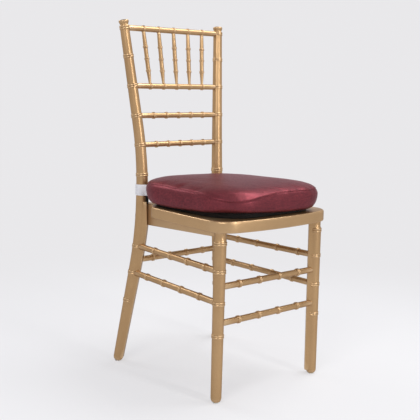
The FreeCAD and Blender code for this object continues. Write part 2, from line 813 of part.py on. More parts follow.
class Spindle:
    """Upright of the back between the top rail and the spindle rail."""

    def __init__(self, index):
        self.name = f"spindle_{index + 1}"
        self.low = SPINDLE_RAIL.at(SPINDLE_RAIL.bead_shares[index])
        self.high = TOP_RAIL.at(TOP_RAIL.bead_shares[index])
        self.way = (self.high - self.low).normalize()
        self.length = (self.high - self.low).Length

    def ends(self):
        """Where the tenons begin and end along the spindle."""
        depth = size("spindle_tenon_length")
        low_tip = SPINDLE_RAIL.dia / 2 - depth
        high_tip = self.length - (TOP_RAIL.dia / 2 - depth)
        low_shoulder = SPINDLE_RAIL.bead_dia / 2
        high_shoulder = self.length - TOP_RAIL.bead_dia / 2
        return low_tip, low_shoulder, high_shoulder, high_tip

    def build(self):
        low_tip, low_shoulder, high_shoulder, high_tip = self.ends()
        low, high = size("spindle_low_dia") / 2, size("spindle_top_dia") / 2
        waist, bead = size("spindle_waist_dia") / 2, size("spindle_bead_dia") / 2
        width, pitch = size("spindle_bead_width"), size("spindle_bead_pitch")
        middle = self.length / 2 - size("spindle_bead_drop")
        total = count("spindle_beads")
        beads = [middle + pitch * (index - (total - 1) / 2) for index in range(total)]
        sections = [(low, low_tip), (low, low_shoulder), (waist, beads[0]), (waist, beads[-1]),
                    (high, high_shoulder), (high, high_tip)]
        core = tapered_bar(self.name, sections, self.low, self.way, "spindle_sides")
        collars = beads_on(self.name, self.low, self.way, bead, width, beads, "spindle_sides")
        return fused(self.name, [core] + collars)

    def low_socket(self):
        """Tool for its hole in the rail below."""
        gap = size("fit_clearance")
        start = self.low + self.way * (self.ends()[0] - gap).value
        radius = size("spindle_low_dia") / 2 + gap
        depth = size("rail_bead_dia")
        return drill(f"{self.name}_low_socket", start, self.way, radius, depth, "spindle_sides")

    def high_socket(self):
        """Tool for its hole in the top rail."""
        gap = size("fit_clearance")
        start = self.low + self.way * (self.ends()[3] + gap).value
        radius = size("spindle_top_dia") / 2 + gap
        depth = size("rail_bead_dia")
        return drill(f"{self.name}_high_socket", start, -self.way, radius, depth, "spindle_sides")


SPINDLES = [Spindle(index) for index in range(count("spindles"))]


# Seat frame and panel

def level(height):
    """Placement of a level sketch at a height."""
    return Placement(Vector(0, 0, height.value), Rotation())


def mirrored(half):
    """Whole outline from its right half, which runs from the front to the back."""
    corners = list(half)
    for index in range(len(half) - 1, -1, -1):
        x, y = half[index][0], half[index][1]
        if index > 0 and len(half[index - 1]) == 3:
            corners.append((-x, y, half[index - 1][2]))
        else:
            corners.append((-x, y))
    return corners


def frame_outline(body):
    """Bowed front, round corners, bowed sides, and corners cut back for the posts."""
    ahead, bow = size("frame_ahead"), size("frame_front_bow")
    corner = size("frame_corner_x")
    bow_radius = (corner * corner + bow * bow) / (bow * 2)
    half = [
        (corner, bow - ahead, size("frame_corner_radius")),
        (size("frame_half_width"), -size("frame_side_start"), size("frame_side_radius")),
        (size("frame_rear_half_width"), size("frame_side_end"), size("frame_rear_corner_radius")),
        (size("frame_rear_corner_x"), size("frame_rear_corner_back")),
        (size("frame_notch_x"), size("frame_notch_back")),
        (size("frame_notch_x"), size("frame_back")),
    ]
    corners = mirrored(half)
    x, y = corners[-1][0], corners[-1][1]
    corners[-1] = (x, y, bow_radius)
    return outline(body, "frame_outline", corners, level(UNDERSIDE))


def corner_runs(across, along, radius, first, runs):
    """Quarter turn about a point, made of equal straight runs, from an angle in degrees."""
    turn = []
    for step in range(runs + 1):
        angle = math.radians(first + 90 * step / runs)
        turn.append((across + radius * math.cos(angle), along + radius * math.sin(angle)))
    return turn


def rounded_box(body, name, grow, height):
    """Outline of the seat opening, grown on every side."""
    across = size("opening_half_width") - size("opening_radius")
    front = size("opening_radius") - size("opening_ahead")
    back = size("opening_back") - size("opening_radius")
    radius, runs = size("opening_radius") + grow, count("opening_corner_runs")
    half = corner_runs(across, front, radius, -90, runs) + corner_runs(across, back, radius, 0, runs)
    return outline(body, name, mirrored(half), level(height))


def edge_names(shape, height):
    """Names of the outer edges of the frame at a height."""
    names = []
    for index, edge in enumerate(shape.Edges, start=1):
        flat = abs(edge.BoundBox.ZMin - height) < 0.01 and abs(edge.BoundBox.ZMax - height) < 0.01
        if flat:
            names.append(f"Edge{index}")
    return names


def bevel(body, name, base, height, width):
    """Bevel all edges of a feature at a height."""
    doc.recompute()
    feature = body.newObject("PartDesign::Chamfer", name)
    feature.Base = (base, edge_names(base.Shape, height.value))
    set_size(feature, "Size", width)
    return feature


def screw_places():
    """Feet of the screws that rise into the seat frame: those of the side bearers, then the rear ones."""
    places = []
    for side in (LEFT, RIGHT):
        for reach in (-number("screw_front"), number("screw_rear")):
            across = BEARERS[side].across_at(reach)
            slope = (number("bearer_rear_depth") - number("bearer_front_depth")) / BEARERS[side].length
            depth = BEARERS[side].depth_at(reach) + slope * number("screw_head_dia")
            places.append((Vector(across, reach, UNDERSIDE.value - depth), depth))
    for side in (LEFT, RIGHT):
        depth = number("rear_bearer_depth")
        middle = number("rear_bearer_back") - number("bearer_width") / 2
        places.append((Vector(side * number("rear_screw_x"), middle, UNDERSIDE.value - depth), depth))
    return places


def screw_hole(name, start, depth):
    radius = size("screw_dia") / 2 + size("fit_clearance")
    return drill(name, start, UP, radius, depth, "fastener_sides")


def seat_frame():
    body = new_body("frame_blank")
    base = pad(body, "frame_plate", frame_outline(body), size("frame_thickness"))
    upper = bevel(body, "upper_bevel", base, size("seat_top"), size("frame_upper_bevel"))
    bevel(body, "lower_bevel", upper, UNDERSIDE, size("frame_lower_bevel"))
    top = size("seat_top")
    ledge = rounded_box(body, "rabbet_outline", size("rabbet_width"), top)
    pocket(body, "rabbet", ledge, size("panel_thickness"))
    pocket(body, "opening", rounded_box(body, "opening_outline", as_size(0), top), size("frame_thickness"))
    gap, over = size("fit_clearance"), size("overrun")
    tools = []
    for word, side in SIDES.items():
        start, way = FRONT_LINES[side].at((UNDERSIDE - over).value)
        depth = size("front_tenon_length") + over + gap
        radius = size("front_tenon_dia") / 2 + gap
        tools.append(drill(f"tenon_hole_{word}", start, way, radius, depth, "bar_sides"))
    for index, (foot, _) in enumerate(screw_places()):
        start = Vector(foot.x, foot.y, (UNDERSIDE - over).value)
        depth = size("screw_bite") + over + gap
        tools.append(screw_hole(f"frame_screw_hole_{index}", start, depth))
    return cut_away("seat_frame", body, tools)


def seat_panel():
    body = new_body("seat_panel")
    bottom = size("seat_top") - size("panel_thickness")
    grow = size("rabbet_width") - size("panel_clearance")
    pad(body, "panel_plate", rounded_box(body, "panel_outline", grow, bottom), size("panel_thickness"))
    return body


# Bearers under the seat frame


class Bearer:
    """Plank from a rear post to a front leg, with an ear that rises behind the seat frame."""

    def __init__(self, side):
        self.side = side
        self.rear = REAR_LINES[side].at(UNDERSIDE.value)[0]
        self.front = FRONT_LINES[side].at(UNDERSIDE.value)[0]
        self.way = (self.front - self.rear).normalize()
        self.length = (self.front - self.rear).Length

    def across_at(self, reach):
        """X of the centre line at a distance behind the origin."""
        share = (reach - self.rear.y) / (self.front.y - self.rear.y)
        return self.rear.x + share * (self.front.x - self.rear.x)

    def depth_at(self, reach):
        """Depth of the plank under the seat frame at a distance behind the origin."""
        share = (reach - self.rear.y) / (self.front.y - self.rear.y)
        rear, front = number("bearer_rear_depth"), number("bearer_front_depth")
        return rear + share * (front - rear)


BEARERS = {side: Bearer(side) for side in (LEFT, RIGHT)}


def side_bearer(name, side):
    bearer = BEARERS[side]
    body = new_body(f"{name}_blank")
    body.Placement = Placement(bearer.rear, Rotation(bearer.way, UP, Vector(), "XYZ"))
    rise, ear, softness = size("bearer_ear_rise"), size("bearer_ear_length"), size("bearer_edge_round")
    length = as_size(bearer.length)
    corners = [
        (as_size(0), -size("bearer_rear_depth")),
        (length, -size("bearer_front_depth")),
        (length, as_size(0)),
        (ear, as_size(0)),
        (ear, rise - softness, softness),
        (ear - softness, rise),
        (as_size(0), rise),
    ]
    middle = Placement(Vector(0, 0, -number("bearer_width") / 2), Rotation())
    pad(body, f"{name}_plank", outline(body, f"{name}_side_view", corners, middle), size("bearer_width"))
    tools = [frame_cope(name, side)] + post_cope(name, side) + leg_cope(name, side)
    gap, over = size("fit_clearance"), size("overrun")
    tools.append(drill(f"{name}_bolt_hole", bolt_start(side), bearer.way, size("bolt_dia") / 2 + gap,
                       size("bolt_length") + gap, "fastener_sides"))
    for index, (foot, deep) in enumerate(screw_places()):
        if index < count("side_screws") and foot.x * side > 0:
            depth = as_size(deep) + over * 2
            start = foot - UP * over.value
            tools.append(screw_hole(f"{name}_screw_hole_{index}", start, depth))
    return cut_away(name, body, tools)


def frame_cope(name, side):
    """Box that cuts the ear back to the slanted rear corner of the seat frame."""
    corner = sided(number("frame_rear_corner_x"), number("frame_rear_corner_back"), 0, side)
    notch = sided(number("frame_notch_x"), number("frame_notch_back"), 0, side)
    along = (notch - corner).normalize()
    inward = Vector(-along.y * side, along.x * side, 0)
    start = corner - inward * number("cope_clearance") - along * number("bearer_ear_length")
    start.z = UNDERSIDE.value
    turn = Rotation(along, inward, Vector(), "XYZ")
    if turn.multVec(UP).z < 0:
        start.z = number("seat_top")
    tool = doc.addObject("Part::Box", f"{name}_frame_cope")
    set_size(tool, "Length", size("frame_half_width"))
    set_size(tool, "Width", size("bearer_ear_length"))
    set_size(tool, "Height", size("frame_thickness"))
    tool.Placement = Placement(start, turn)
    return tool


def post_cope(name, side):
    """The rear post and its flat inner side, grown by the gap that the bearer keeps."""
    gap, over = size("cope_clearance"), size("overrun")
    low = UNDERSIDE - size("bearer_rear_depth") - over
    high = UNDERSIDE + size("bearer_ear_rise") + over
    heights = spread(low, high, count("cope_sections"))
    return [joined_sections(f"{name}_post_cope", post_rounds(f"{name}_post_cope", side, heights, gap)),
            joined_sections(f"{name}_post_flat_cope", post_flats(f"{name}_post_cope", side, heights, gap))]


def leg_cope(name, side):
    """The front leg and its flat inner side, grown by the gap that the bearer keeps."""
    gap, over = size("cope_clearance"), size("overrun")
    line = FRONT_LINES[side]
    rounds, flats = [], []
    for index, height in enumerate((UNDERSIDE - size("bearer_front_depth") - over, UNDERSIDE + over)):
        place = line.at(height.value)
        rounds.append(ring(f"{name}_leg_cope_round_{index}", "post_sides", size("front_leg_dia") / 2 + gap,
                           across_line(place, BACKWARDS)))
        half_width = front_leg_radius(height) * size("rib_width_share") + gap
        flats.append(flat_section(f"{name}_leg_cope_flat_{index}", size("front_rib") + gap, half_width,
                                  across_line(place, front_inward(side))))
    return [joined_sections(f"{name}_leg_cope", rounds), joined_sections(f"{name}_leg_flat_cope", flats)]


def rear_bearer():
    """Plank across the back, between the side bearers."""
    body = new_body("rear_bearer_blank")
    back = number("rear_bearer_back")
    front = back - number("bearer_width")
    bearer = BEARERS[RIGHT]
    slant = number("bearer_width") / 2 / abs(bearer.way.y) + number("fit_clearance")
    corners = mirrored([
        (as_size(bearer.across_at(front) - slant), as_size(front)),
        (as_size(bearer.across_at(back) - slant), as_size(back)),
    ])
    bottom = UNDERSIDE - size("rear_bearer_depth")
    sketch = outline(body, "rear_bearer_outline", corners, level(bottom))
    pad(body, "rear_bearer_plank", sketch, size("rear_bearer_depth"))
    over = size("overrun")
    tools = []
    for index, (foot, deep) in enumerate(screw_places()[count("side_screws"):]):
        start = foot - UP * over.value
        tools.append(screw_hole(f"rear_bearer_screw_hole_{index}", start, as_size(deep) + over * 2))
    return cut_away("rear_bearer", body, tools)


# Fasteners and glides


def fastener(name, start, way, shank_dia, length, head_dia, head_height):
    """Shank that leaves the start along its way, with a head behind the start."""
    shank = rod(f"{name}_shank", shank_dia / 2, length, along_way(start, way), "fastener_sides")
    head_place = along_way(start - way * head_height.value, way)
    head = rod(f"{name}_head", head_dia / 2, head_height, head_place, "fastener_sides")
    return fused(name, [shank, head])


def bolt_start(side):
    """Underside of a bolt's head, sunk into the back of the post."""
    point, _ = REAR_LINES[side].at((UNDERSIDE - size("bolt_drop")).value)
    return point - BEARERS[side].way * number("bolt_head_out")


def seat_bolts():
    bolts = []
    for word, side in SIDES.items():
        bolts.append(fastener(f"bolt_{word}", bolt_start(side), BEARERS[side].way, size("bolt_dia"),
                              size("bolt_length"), size("bolt_head_dia"), size("bolt_head_height")))
    return group("seat_bolts", bolts)


def bolt_holes(name, side):
    """Tools for the shank's through hole and the wider one for the head."""
    way = BEARERS[side].way
    gap = size("fit_clearance")
    start = bolt_start(side)
    shank, head = size("bolt_dia") / 2 + gap, size("bolt_head_dia") / 2 + gap
    return [drill(f"{name}_bolt_hole", start, way, shank, size("bolt_length"), "fastener_sides"),
            drill(f"{name}_head_hole", start, -way, head, size("bolt_head_dia") * 2, "fastener_sides")]


def frame_screws():
    screws = []
    for index, (foot, deep) in enumerate(screw_places()):
        length = size("screw_bite") + deep
        screws.append(fastener(f"frame_screw_{index}", foot, UP, size("screw_dia"), length,
                               size("screw_head_dia"), size("screw_head_height")))
    return group("frame_screws", screws)


def foot_glides():
    glides = []
    for lines in (REAR_LINES, FRONT_LINES):
        for side in (LEFT, RIGHT):
            top = lines[side].at(number("glide_thickness"))[0]
            name = f"glide_{len(glides)}"
            disc = rod(f"{name}_disc", size("glide_dia") / 2, size("glide_thickness"),
                       Placement(Vector(top.x, top.y, 0), Rotation()), "bar_sides")
            pin = rod(f"{name}_pin", size("glide_pin_dia") / 2, size("glide_pin_length"),
                      Placement(top, Rotation()), "fastener_sides")
            glides.append(fused(name, [disc, pin]))
    return group("foot_glides", glides)


# Cushion, its base and its straps

# Height as a share of the cushion's height, and inset as a share of its half width
CUSHION_FORM = (
    (0.0, 0.085), (0.14, 0.03), (0.36, 0.0), (0.6, 0.012),
    (0.79, 0.075), (0.93, 0.26), (1.0, 0.56),
)


def cushion_outline(name, inset, height):
    """Level section of the cushion, drawn in on every side, its corners made of straight runs."""
    wide = size("cushion_half_width") - inset
    ahead, back = size("cushion_ahead") - inset, size("cushion_back") - inset
    share = wide / size("cushion_half_width")
    front, rear = size("cushion_front_radius") * share, size("cushion_rear_radius") * share
    runs = count("cushion_corner_runs")
    half = corner_runs(wide - front, front - ahead, front, -90, runs)
    half += corner_runs(wide - rear, back - rear, rear, 0, runs)
    return outline(None, name, mirrored(half), level(height))


def cushion_base():
    heights = (size("seat_top"), size("seat_top") + size("cushion_base_height"))
    sections = [cushion_outline(f"base_outline_{index}", size("cushion_base_inset"), height)
                for index, height in enumerate(heights)]
    base = joined_sections("cushion_base", sections)
    base.Label = "cushion_base"
    return base


def cushion():
    low = size("seat_top") + size("cushion_base_height")
    sections = []
    for index, (height_share, inset_share) in enumerate(CUSHION_FORM):
        height = low + size("cushion_height") * height_share
        inset = size("cushion_half_width") * inset_share
        sections.append(cushion_outline(f"cushion_section_{index}", inset, height))
    form = joined_sections("cushion", sections)
    form.Label = "cushion"
    return form


def cushion_strap(name, side):
    """Band around the post, whose two ends meet the cushion's rear corner."""
    body = new_body(name)
    height = number("seat_top") + number("strap_rise")
    point, way = REAR_LINES[side].at(height)
    corner = sided(number("cushion_half_width") - number("cushion_rear_radius"),
                   number("cushion_back") - number("cushion_rear_radius"), point.z, side)
    toward = corner - point
    reach = toward.Length - number("cushion_rear_radius") - number("strap_end_gap")
    fullest = post_radius(as_size(height)).value + number("strap_slack")
    inner = fullest / math.cos(math.pi / count("strap_runs"))
    outer = inner + number("strap_thickness")
    apart = number("strap_ends_apart") / 2

    def band_runs(radius, offset):
        """Corners of one face of the band, from one straight end round the post to the other."""
        first = math.atan2(offset, reach) + math.acos(radius / math.hypot(reach, offset))
        runs = count("strap_runs")
        angles = [first + (2 * math.pi - 2 * first) * step / runs for step in range(runs + 1)]
        turn = [(radius * math.cos(angle), radius * math.sin(angle)) for angle in angles]
        return [(reach, offset)] + turn + [(reach, -offset)]

    corners = band_runs(outer, apart + number("strap_thickness")) + band_runs(inner, apart)[::-1]
    sized = [(as_size(x), as_size(y)) for x, y in corners]
    start = point - way * (number("strap_width") / 2)
    toward = toward - way * toward.dot(way)
    place = Placement(start, Rotation(toward.normalize(), Vector(), way, "ZXY"))
    pad(body, f"{name}_band", outline(body, f"{name}_outline", sized, place), size("strap_width"))
    return body


# Putting the chair together


def named(piece, name):
    piece.Label = name
    return piece


def opposite(piece, name):
    """The same piece on the other side of the chair."""
    copy = doc.addObject("Part::Mirroring", name)
    copy.Label = name
    copy.Source = piece
    copy.Normal = Vector(1, 0, 0)
    return copy


def assemble():
    post_cuts = bolt_holes("rear_post_left", LEFT) + [glide_hole("rear_post_left", REAR_LINES[LEFT])]
    leg_cuts = [glide_hole("front_leg_left", FRONT_LINES[LEFT])]
    paired, pieces, rails = [], [], {}
    for member in SIDE_STRETCHERS:
        paired.append(named(member.build(), member.name))
        post_cuts.append(member.socket(True))
        leg_cuts.append(member.socket(False))
    for member in FRONT_STRETCHERS:
        pieces.append(named(member.build(), member.name))
        leg_cuts.append(member.socket(True))
    for member in BACK_RAILS + [REAR_STRETCHER]:
        rails[member.name] = member.build()
        post_cuts.append(member.socket(True))
    low_sockets = [spindle.low_socket() for spindle in SPINDLES]
    high_sockets = [spindle.high_socket() for spindle in SPINDLES]
    pieces.append(cut_away("spindle_rail", rails.pop("spindle_rail"), low_sockets))
    pieces.append(cut_away("top_rail", rails.pop("top_rail"), high_sockets))
    pieces += [named(rail, name) for name, rail in rails.items()]
    pieces += [spindle.build() for spindle in SPINDLES]
    paired.append(cut_away("rear_post_left", rear_post("rear_post_left", LEFT), post_cuts))
    paired.append(cut_away("front_leg_left", front_leg("front_leg_left", LEFT), leg_cuts))
    paired += [side_bearer("side_bearer_left", LEFT), cushion_strap("cushion_strap_left", LEFT)]
    pieces += [rear_bearer(), seat_frame(), seat_panel(), cushion_base(), cushion()]
    pieces += [seat_bolts(), frame_screws(), foot_glides()]
    for piece in paired:
        pieces += [piece, opposite(piece, piece.Label.replace("left", "right"))]
    return pieces


LEAST_CUT = 5


def check(pieces):
    for item in doc.Objects:
        if "Invalid" in item.State or "Error" in item.State:
            raise RuntimeError(f"{item.Label} failed: {item.State}")
    for base, tools in CUTS:
        for tool in tools:
            if base.Shape.common(tool.Shape).Volume < LEAST_CUT:
                raise RuntimeError(f"{tool.Label} cuts nothing")
    for piece in pieces:
        if piece.Shape.isNull() or not piece.Shape.isValid() or not piece.Shape.Solids:
            raise RuntimeError(f"{piece.Label} has no sound shape")


def export(pieces):
    os.makedirs("parts", exist_ok=True)
    for piece in pieces:
        piece.Shape.exportStep(f"parts/{piece.Label}.step")


PIECES = assemble()
doc.recompute()
check(PIECES)
export(PIECES)
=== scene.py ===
import math

import bpy
import bmesh
import numpy as np
from mathutils import Matrix, Vector, noise
from mathutils.bvhtree import BVHTree
from mathutils.geometry import tessellate_polygon

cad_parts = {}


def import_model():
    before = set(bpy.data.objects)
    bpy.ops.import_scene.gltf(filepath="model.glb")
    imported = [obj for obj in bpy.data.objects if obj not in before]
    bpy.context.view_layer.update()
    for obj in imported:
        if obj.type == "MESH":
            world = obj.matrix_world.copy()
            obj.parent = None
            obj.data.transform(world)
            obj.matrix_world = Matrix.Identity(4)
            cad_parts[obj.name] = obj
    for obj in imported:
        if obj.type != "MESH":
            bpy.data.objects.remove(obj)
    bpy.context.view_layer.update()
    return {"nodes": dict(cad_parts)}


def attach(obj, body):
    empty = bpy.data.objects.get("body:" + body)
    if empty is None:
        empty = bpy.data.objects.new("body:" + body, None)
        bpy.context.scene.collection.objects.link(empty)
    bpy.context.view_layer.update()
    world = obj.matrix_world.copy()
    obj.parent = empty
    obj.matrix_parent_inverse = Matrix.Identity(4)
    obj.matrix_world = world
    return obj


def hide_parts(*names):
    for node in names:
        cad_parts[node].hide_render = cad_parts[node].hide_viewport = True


# A gilded chiavari side chair with a burgundy satin cushion.
# Shapes are worked out in millimetres in the chair's own frame (+Z up, the sitter faces -Y,
# left is -X as seen from the front) and turned into metres where a mesh is made.

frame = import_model()

MM = 0.001
ROOT = "root"
SIDES = {"left": -1, "right": 1}
UP = np.array([0.0, 0.0, 1.0])


# Meshes


def unit(vector):
    vector = np.asarray(vector, float)
    return vector / np.linalg.norm(vector)


def new_object(name, points, faces, crease=35):
    """Mesh object from points in millimetres, with edges sharper than the crease left hard."""
    mesh = bpy.data.meshes.new(name)
    mesh.from_pydata([tuple(point * MM) for point in np.asarray(points, float)], [], faces)
    made = bmesh.new()
    made.from_mesh(mesh)
    bmesh.ops.recalc_face_normals(made, faces=made.faces)
    made.to_mesh(mesh)
    made.free()
    mesh.polygons.foreach_set("use_smooth", [True] * len(mesh.polygons))
    mesh.set_sharp_from_angle(angle=math.radians(crease))
    item = bpy.data.objects.new(name, mesh)
    bpy.context.scene.collection.objects.link(item)
    return item


def strip_faces(rings, around, start=0, closed=False):
    """Quads between rings of points that follow one another, and from the last to the first if closed."""
    faces = []
    for ring in range(rings if closed else rings - 1):
        low, high = start + ring * around, start + (ring + 1) % rings * around
        for step in range(around):
            after = (step + 1) % around
            faces.append((low + step, low + after, high + after, high + step))
    return faces


def circle(centre, side, other, radius, steps):
    """Points round a centre, in the plane of two directions."""
    angles = [2 * math.pi * step / steps for step in range(steps)]
    return [centre + (side * math.cos(angle) + other * math.sin(angle)) * radius for angle in angles]


def skin(name, rings, crease=35):
    """Closed tube through rings of points."""
    rings = np.asarray(rings, float)
    count, around = rings.shape[:2]
    faces = strip_faces(count, around)
    faces.append(tuple(range(around)))
    faces.append(tuple(range((count - 1) * around, count * around)))
    return new_object(name, rings.reshape(-1, 3), faces, crease)


def finish_piece(item, finish, *nodes):
    """Dress a piece in a material, put it on the chair, and let it stand for its solids."""
    material, slot = finish
    item.data.materials.clear()
    item.data.materials.append(material)
    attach(item, ROOT)
    if nodes:
        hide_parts(*nodes)


# Materials


def plug(tree, node, inputs):
    """Set or link a node's inputs."""
    for key, value in inputs.items():
        if isinstance(value, bpy.types.NodeSocket):
            tree.links.new(value, node.inputs[key])
        else:
            node.inputs[key].default_value = value


def add(tree, kind, inputs=None, **settings):
    """A node with its settings and inputs."""
    node = tree.nodes.new(kind)
    for key, value in settings.items():
        setattr(node, key, value)
    plug(tree, node, inputs or {})
    return node


def new_material(name):
    """A material, its node tree, its shader and the object's coordinates."""
    material = bpy.data.materials.new(name)
    material.use_nodes = True
    tree = material.node_tree
    return material, tree, tree.nodes["Principled BSDF"], add(tree, "ShaderNodeTexCoord").outputs["Object"]


def ramp(tree, source, stops):
    """Colour ramp between two (position, colour) stops."""
    node = add(tree, "ShaderNodeValToRGB", {"Fac": source})
    elements = node.color_ramp.elements
    for element, (position, colour) in zip(elements, stops):
        element.position = position
        element.color = (*colour, 1)
    return node.outputs["Color"]


def noise_at(tree, place, scale, detail, roughness=0.55):
    node = add(tree, "ShaderNodeTexNoise", {"Vector": place, "Scale": scale, "Detail": detail,
                                            "Roughness": roughness})
    return node.outputs["Fac"]


def stretched(tree, place, scale):
    return add(tree, "ShaderNodeMapping", {"Vector": place, "Scale": scale}).outputs["Vector"]


def mixed(tree, share, first, second):
    """Two colours mixed by a share of the second."""
    return add(tree, "ShaderNodeMix", {0: share, 6: first, 7: second}, data_type="RGBA").outputs[2]


def maths(tree, operation, first, second):
    return add(tree, "ShaderNodeMath", {0: first, 1: second}, operation=operation).outputs[0]


def bump(tree, height, distance, strength, **under):
    """Bump from a height, on top of the normal that may be given."""
    inputs = {"Height": height, "Distance": distance, "Strength": strength, **under}
    return add(tree, "ShaderNodeBump", inputs).outputs["Normal"]


def gold_paint():
    """Satin metallic lacquer on turned beech: cloudy colour, sprayed grain, faint wood grain, and a painted
    highlight that lightens convex edges.
    """
    material, tree, shader, place = new_material("gold_paint")
    clouds = noise_at(tree, place, 9, 3)
    flakes = noise_at(tree, place, 1400, 2, 0.7)
    grain = noise_at(tree, stretched(tree, place, (260, 260, 14)), 1, 3)
    colour = ramp(tree, clouds, [(0.3, (0.372, 0.222, 0.105)), (0.7, (0.445, 0.273, 0.134))])
    colour = mixed(tree, 0.22, colour,
                   ramp(tree, flakes, [(0.35, (0.34, 0.20, 0.08)), (0.65, (0.74, 0.53, 0.29))]))
    # Painted highlight: convex edges and ring ridges are mixed up to halfway towards a pale gold.
    edges = add(tree, "ShaderNodeNewGeometry").outputs["Pointiness"]
    edge_highlight = ramp(tree, edges, [(0.51, (0, 0, 0)), (0.56, (1, 1, 1))])
    colour = mixed(tree, maths(tree, "MULTIPLY", edge_highlight, 0.5), colour, (0.78, 0.58, 0.36, 1))
    rough = add(tree, "ShaderNodeMapRange", {"Value": clouds, "To Min": 0.31, "To Max": 0.41})
    sprayed = bump(tree, flakes, 0.00008, 0.5)
    plug(tree, shader, {"Base Color": colour, "Roughness": rough.outputs["Result"], "Metallic": 0.84,
                        "Specular Tint": (0.50, 0.42, 0.36, 1), "Coat Weight": 0.2, "Coat Roughness": 0.2,
                        "Normal": bump(tree, grain, 0.0002, 0.5, Normal=sprayed)})
    return material


def burgundy_satin():
    """Two-tone satin: dark weft, a redder warp that catches the light, fine slubs along both."""
    material, tree, shader, place = new_material("burgundy_satin")
    slubs = noise_at(tree, stretched(tree, place, (70, 900, 900)), 1, 3)
    weft = noise_at(tree, stretched(tree, place, (1000, 150, 260)), 1, 3)
    patches = noise_at(tree, place, 16, 4)
    threads = maths(tree, "MULTIPLY", slubs, weft)
    colour = ramp(tree, patches, [(0.35, (0.130, 0.027, 0.034)), (0.65, (0.180, 0.036, 0.045))])
    colour = mixed(tree, 0.5, colour,
                   ramp(tree, threads, [(0.15, (0.065, 0.022, 0.030)), (0.38, (0.29, 0.056, 0.066))]))
    rough = add(tree, "ShaderNodeMapRange", {"Value": threads, "From Min": 0.1, "From Max": 0.4,
                                             "To Min": 0.48, "To Max": 0.37})
    weave = bump(tree, threads, 0.0005, 0.6)
    plug(tree, shader, {"Base Color": colour, "Roughness": rough.outputs["Result"], "Metallic": 0.75,
                        "Specular IOR Level": 0.2, "Specular Tint": (0.70, 0.62, 0.64, 1),
                        "Sheen Weight": 0.04, "Sheen Roughness": 0.3, "Sheen Tint": (0.8, 0.5, 0.55, 1),
                        "Normal": bump(tree, patches, 0.002, 0.4, Normal=weave)})
    return material


def cloth_material(name, dark, light, scale, roughness, sheen):
    """Plain woven cloth from two crossing thread waves."""
    material, tree, shader, place = new_material(name)
    warp, weft = (add(tree, "ShaderNodeTexWave", {"Vector": place, "Scale": scale, "Distortion": 0.6},
                      bands_direction=axis).outputs["Fac"] for axis in "XZ")
    threads = maths(tree, "MAXIMUM", warp, weft)
    fuzz = noise_at(tree, place, 300, 4)
    colour = ramp(tree, threads, [(0.2, dark), (0.9, light)])
    colour = mixed(tree, 0.15, colour, ramp(tree, fuzz, [(0.3, dark), (0.7, light)]))
    plug(tree, shader, {"Base Color": colour, "Roughness": roughness, "Sheen Weight": sheen,
                        "Normal": bump(tree, threads, 0.0003, 0.6)})
    return material


def plywood_material():
    """Plain sanded plywood: broad figure and short pores along Y."""
    material, tree, shader, place = new_material("plywood_face")
    rings = add(tree, "ShaderNodeTexWave", {"Vector": stretched(tree, place, (14, 1.6, 14)), "Scale": 4,
                                            "Distortion": 5, "Detail": 3}).outputs["Fac"]
    pores = noise_at(tree, stretched(tree, place, (900, 60, 900)), 1, 3)
    colour = ramp(tree, rings, [(0.2, (0.36, 0.22, 0.11)), (0.8, (0.55, 0.38, 0.21))])
    colour = mixed(tree, 0.3, colour,
                   ramp(tree, pores, [(0.4, (0.24, 0.14, 0.07)), (0.6, (0.6, 0.43, 0.26))]))
    plug(tree, shader, {"Base Color": colour, "Roughness": 0.7, "Normal": bump(tree, pores, 0.0003, 0.5)})
    return material


def plastic_material():
    """Off-white moulded nylon with a fine speckle."""
    material, tree, shader, place = new_material("nylon_glide")
    speckle = noise_at(tree, place, 600, 3)
    colour = ramp(tree, speckle, [(0.3, (0.55, 0.53, 0.48)), (0.7, (0.72, 0.7, 0.64))])
    plug(tree, shader, {"Base Color": colour, "Roughness": 0.45, "Subsurface Weight": 0.1,
                        "Normal": bump(tree, speckle, 0.0001, 0.5)})
    return material


def zinc_material():
    """Zinc plate with its small spangle."""
    material, tree, shader, place = new_material("zinc_plate")
    spangle = add(tree, "ShaderNodeTexVoronoi", {"Vector": place, "Scale": 500}).outputs["Distance"]
    colour = ramp(tree, spangle, [(0.1, (0.42, 0.42, 0.43)), (0.7, (0.62, 0.62, 0.64))])
    plug(tree, shader, {"Base Color": colour, "Metallic": 1.0, "Roughness": 0.35,
                        "Normal": bump(tree, spangle, 0.00005, 0.4)})
    return material


# Each of these is a material and its slot; PLY and NYLON are the materials alone.
GOLD = gold_paint(), "gold_frame"
SATIN = burgundy_satin(), "burgundy_satin"
BLACK = (cloth_material("black_cloth", (0.002, 0.002, 0.002), (0.008, 0.007, 0.007), 320, 0.95, 0.0),
         "black_fabric")
WHITE = (cloth_material("white_tape", (0.62, 0.61, 0.63), (0.82, 0.81, 0.83), 260, 0.75, 0.2),
         "white_strap")
ZINC = zinc_material(), "zinc_steel"
PLY = plywood_material()
NYLON = plastic_material()


# Turned profiles
# A ring is two rounded ridges; GROOVE is the share of their rise that is left between them.

RING_HALF, RING_RISE = 5.0, 1.45
RIDGE_MIDDLE, RIDGE_HALF, GROOVE = 2.55, 2.3, 0.3


def ridge_pair(offset, half, rise):
    """Rise of a ring at an offset from its middle."""
    scale = half / RING_HALF
    across = (abs(offset) - RIDGE_MIDDLE * scale) / (RIDGE_HALF * scale)
    crest = (1 - across * across) ** 0.5 if abs(across) < 1 else 0.0
    between = GROOVE if abs(offset) < RIDGE_MIDDLE * scale else 0.0
    return rise * max(crest, between)


RING_STEPS = (-5.2, -4.9, -4.8, -4.6, -4.2, -3.6, -2.6, -1.6, -1.0, -0.6, 0.0,
              0.6, 1.0, 1.6, 2.6, 3.6, 4.2, 4.6, 4.8, 4.9, 5.2)


def ring_heights(rings, half=RING_HALF):
    return [ring + step * half / RING_HALF for ring in rings for step in RING_STEPS]


